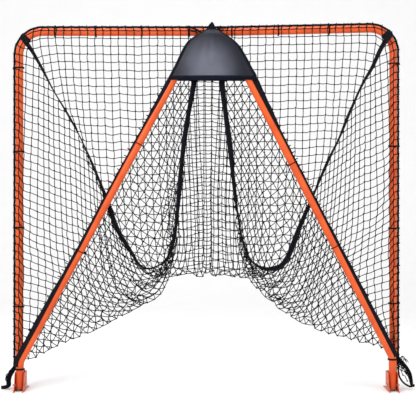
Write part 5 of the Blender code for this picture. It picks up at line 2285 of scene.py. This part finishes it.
@dataclass
class ApexCover:
    """Sewn satin pouch over the V's apex: front and back cloth, hem, piping, stitches and tip."""

    sections: tuple = ((1.530, -0.1935, 0.2505, 0.0225), (1.5568, -0.179, 0.247, 0.0225),
                       (1.5914, -0.1605, 0.226, 0.0225), (1.6437, -0.1355, 0.199, 0.0225),
                       (1.6965, -0.110, 0.168, 0.0225), (1.7267, -0.088, 0.1390, 0.0225),
                       (1.752, -0.051, 0.105, 0.0225), (1.7635, -0.0290, 0.0860, 0.0215),
                       (1.774, -0.0140, 0.0670, 0.0130), (1.780, -0.0020, 0.0480, 0.0060),
                       (1.819, 0.0250, 0.0325, 0.0020))
    bulge: float = 0.014
    cloth: float = 0.0012
    hem_height: float = 0.021
    rows: int = 64
    end_steps: int = 10
    face_steps: int = 44
    seam_width: float = 0.013
    flap_z: float = 1.778
    row_gap: float = 0.005
    proud: Triple = (0.0, 0.0002, 0.0)
    flat: tuple[float, float] = (0.90, 0.29)

    def section(self, z: float) -> tuple[float, float, float, float]:
        """Outline of the pouch at a height.

        Args:
            z: the height.

        Returns:
            Left edge, right edge, end radius and swell.
        """
        table = np.array(self.sections)
        left, right, radius = (float(np.interp(z, table[:, 0], table[:, k])) for k in (1, 2, 3))
        level = float(np.interp(z, table[:, 0], np.arange(len(table))))
        swell = self.bulge * max(0.0, math.sin(math.pi * min(1.0, (level + 1.5) / 9.5)))
        return left, right, radius, swell

    def crease(self, x: float, z: float) -> float:
        """Small standing creases of the cloth, fanning down from the apex.

        Args:
            x: place across.
            z: the height.

        Returns:
            How far the cloth stands out.
        """
        turn = math.atan2(x - V_SHAPE.apex_x, 1.84 - z)
        fan = math.sin(turn * 17.0 + 0.6) * math.sin(turn * 7.3 + 1.1)
        low = math.sin(x * 34.0 + z * 9.0) * 0.5 + math.sin(z * 47.0 - x * 11.0) * 0.4
        hang = min(1.0, max(0.0, (1.79 - z) / 0.10))
        return (0.0013 * fan + 0.0010 * low) * hang

    def ring(self, z: float, inset: float) -> list[Triple]:
        """One level section of the pouch.

        Args:
            z: the height.
            inset: distance inside the outer face.

        Returns:
            The points, once round.
        """
        left, right, radius, swell = self.section(z)
        y = V_SHAPE.depth(z)
        r = max(radius - inset, 0.0006)
        xl, xr = left + radius, right - radius
        points = []
        for i in range(self.end_steps + 1):
            t = math.pi / 2 + math.pi * i / self.end_steps
            points.append((xl + r * math.cos(t), y + r * math.sin(t), z))
        for i in range(1, self.face_steps):
            t = i / self.face_steps
            x = xl + (xr - xl) * t
            lift = swell * math.sin(math.pi * t) ** 0.8 + self.crease(x, z) * math.sin(math.pi * t)
            points.append((x, y - r - lift, z))
        for i in range(self.end_steps + 1):
            t = -math.pi / 2 + math.pi * i / self.end_steps
            points.append((xr + r * math.cos(t), y + r * math.sin(t), z))
        for i in range(1, self.face_steps):
            t = i / self.face_steps
            points.append((xr + (xl - xr) * t, y + r, z))
        return points

    def shell(self) -> MeshKit:
        """Outer and inner faces of the cloth, joined along the hem.

        Returns:
            The cloth's mesh.
        """
        kit = MeshKit()
        low, high = self.sections[0][0], self.sections[-1][0]
        body = np.concatenate([np.linspace(low, low + self.hem_height, 7),
                               np.linspace(low + self.hem_height, high, self.rows)[1:]])
        outer = [self.ring(z, 0.0003 if z > low + self.hem_height + 1e-6 else -0.0004) for z in body]
        inner = [self.ring(z, self.cloth) for z in body[body < 1.768][::-1]]
        rings = outer + inner
        n = len(rings[0])
        seam_z = low + self.hem_height
        faces, slots = [], []
        for i in range(len(rings)):
            if i == len(outer) - 1:
                continue
            j = (i + 1) % len(rings)
            z = rings[i][0][2]
            left, right, _, _ = self.section(z)
            for k in range(n):
                m = (k + 1) % n
                faces.append((i * n + k, i * n + m, j * n + m, j * n + k))
                x = (rings[i][k][0] + rings[i][m][0]) / 2
                edge = min(x - left, right - x) < self.seam_width
                slots.append(1 if edge or z < seam_z - 1e-4 or z > self.flap_z or i >= len(outer) else 0)
        top = (len(outer) - 1) * n
        faces.append(tuple(top + k for k in range(n)))
        faces.append(tuple(top + n + k for k in range(n))[::-1])
        slots += [1, 1]
        kit.add(np.array([p for ring in rings for p in ring]), faces)
        kit.slots = slots
        return kit

    def edge_line(self, side: Side, inward: float, z_from: float, z_to: float, count: int) -> Array:
        """A line down the front beside one side seam, inward from the edge.

        Args:
            side: which seam.
            inward: distance from the edge.
            z_from: lower end.
            z_to: upper end.
            count: number of points.

        Returns:
            The points.
        """
        points = []
        for z in np.linspace(z_from, z_to, count):
            left, right, radius, _ = self.section(z)
            edge = left if side is Side.LEFT else right
            x = edge - side.sign * inward
            into = min(max(radius - inward, 0.0), radius)
            y = V_SHAPE.depth(z) - math.sqrt(max(radius ** 2 - into ** 2, 0.0))
            points.append((x, y, z))
        return np.array(points)

    def trim(self) -> MeshKit:
        """Piping on both side seams and rows of stitches beside the seams and above the hem.

        Returns:
            The trim's mesh.
        """
        kit = MeshKit()
        low = self.sections[0][0]
        thread = ring_section(0.0005, 5)
        for side in Side:
            kit.sweep(smooth_line(self.edge_line(side, 0.0, low + 0.001, 1.812, 60), 120),
                      ring_section(0.0019, 8))
            seam = self.edge_line(side, self.seam_width, low + 0.003, 1.768, 60)
            sew(kit, seam - self.proud, thread)
        for z in (low + self.hem_height, low + self.hem_height - self.row_gap):
            sew(kit, self.level_line(z) - self.proud, thread)
        return kit

    def level_line(self, z: float) -> Array:
        """A level line across the front, a little proud of the cloth."""
        first = self.end_steps
        return np.array(self.ring(z, -0.0005)[first:first + self.face_steps + 1])

    def build(self) -> list[Piece]:
        """Returns:
            Cloth and trim.
        """
        cover = self.shell().object("apex_cover_cloth", [Finish.COVER, Finish.HEM], Slot.COVER)
        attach(cover, V_FRAME)
        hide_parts("apex_cover")
        trim = self.trim().object("apex_cover_trim", [Finish.HEM, Finish.STITCH], Slot.COVER)
        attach(trim, V_FRAME)
        return [cover, trim]


# ---- small CAD pieces that stay

@dataclass
class KeptPieces:
    """CAD nodes whose shape is right, each given its finish."""

    def build(self) -> list[str]:
        """Dress the kept nodes and return their names.

        Returns:
            Their names.
        """
        table = {"crossbar_sleeve": Finish.STEEL, "apex_sleeve": Finish.STEEL,
                 "crossbar_button_left": Finish.ZINC, "crossbar_button_right": Finish.ZINC}
        for side in Side:
            for place in ("in", "out"):
                table["hinge_washer_%s_%s" % (side.value, place)] = Finish.ZINC
        for node, finish in table.items():
            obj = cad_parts[node]
            obj.data.materials.clear()
            obj.data.materials.append(finish.material)
        return list(table)


def main() -> None:
    """Build every sub-assembly in order."""
    logging.basicConfig(level=logging.INFO, format="%(name)s: %(message)s")
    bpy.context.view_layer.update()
    studio = Studio()
    studio.place_camera()
    for side in Side:
        LOG.info("tail %s", BorderTail(side).build().name)
    studio.light()
    studio.floor()
    for piece in FrameTubes().build():
        LOG.info("tube %s", piece.name)
    for side in Side:
        LOG.info("plug %s", TubePlug(side).build().name)
        for piece in FootHinge(side).build():
            LOG.info("foot %s", piece.name)
    for piece in Ties().build():
        LOG.info("tie %s", piece.name)
    for piece in BorderRopes().build():
        LOG.info("rope %s", piece.name)
    for piece in ApexCover().build():
        LOG.info("cover %s", piece.name)
    for piece in SlackNet().build():
        LOG.info("net %s", piece.name)
    for name in KeptPieces().build():
        LOG.info("kept %s", name)


if __name__ == "__main__":
    main()
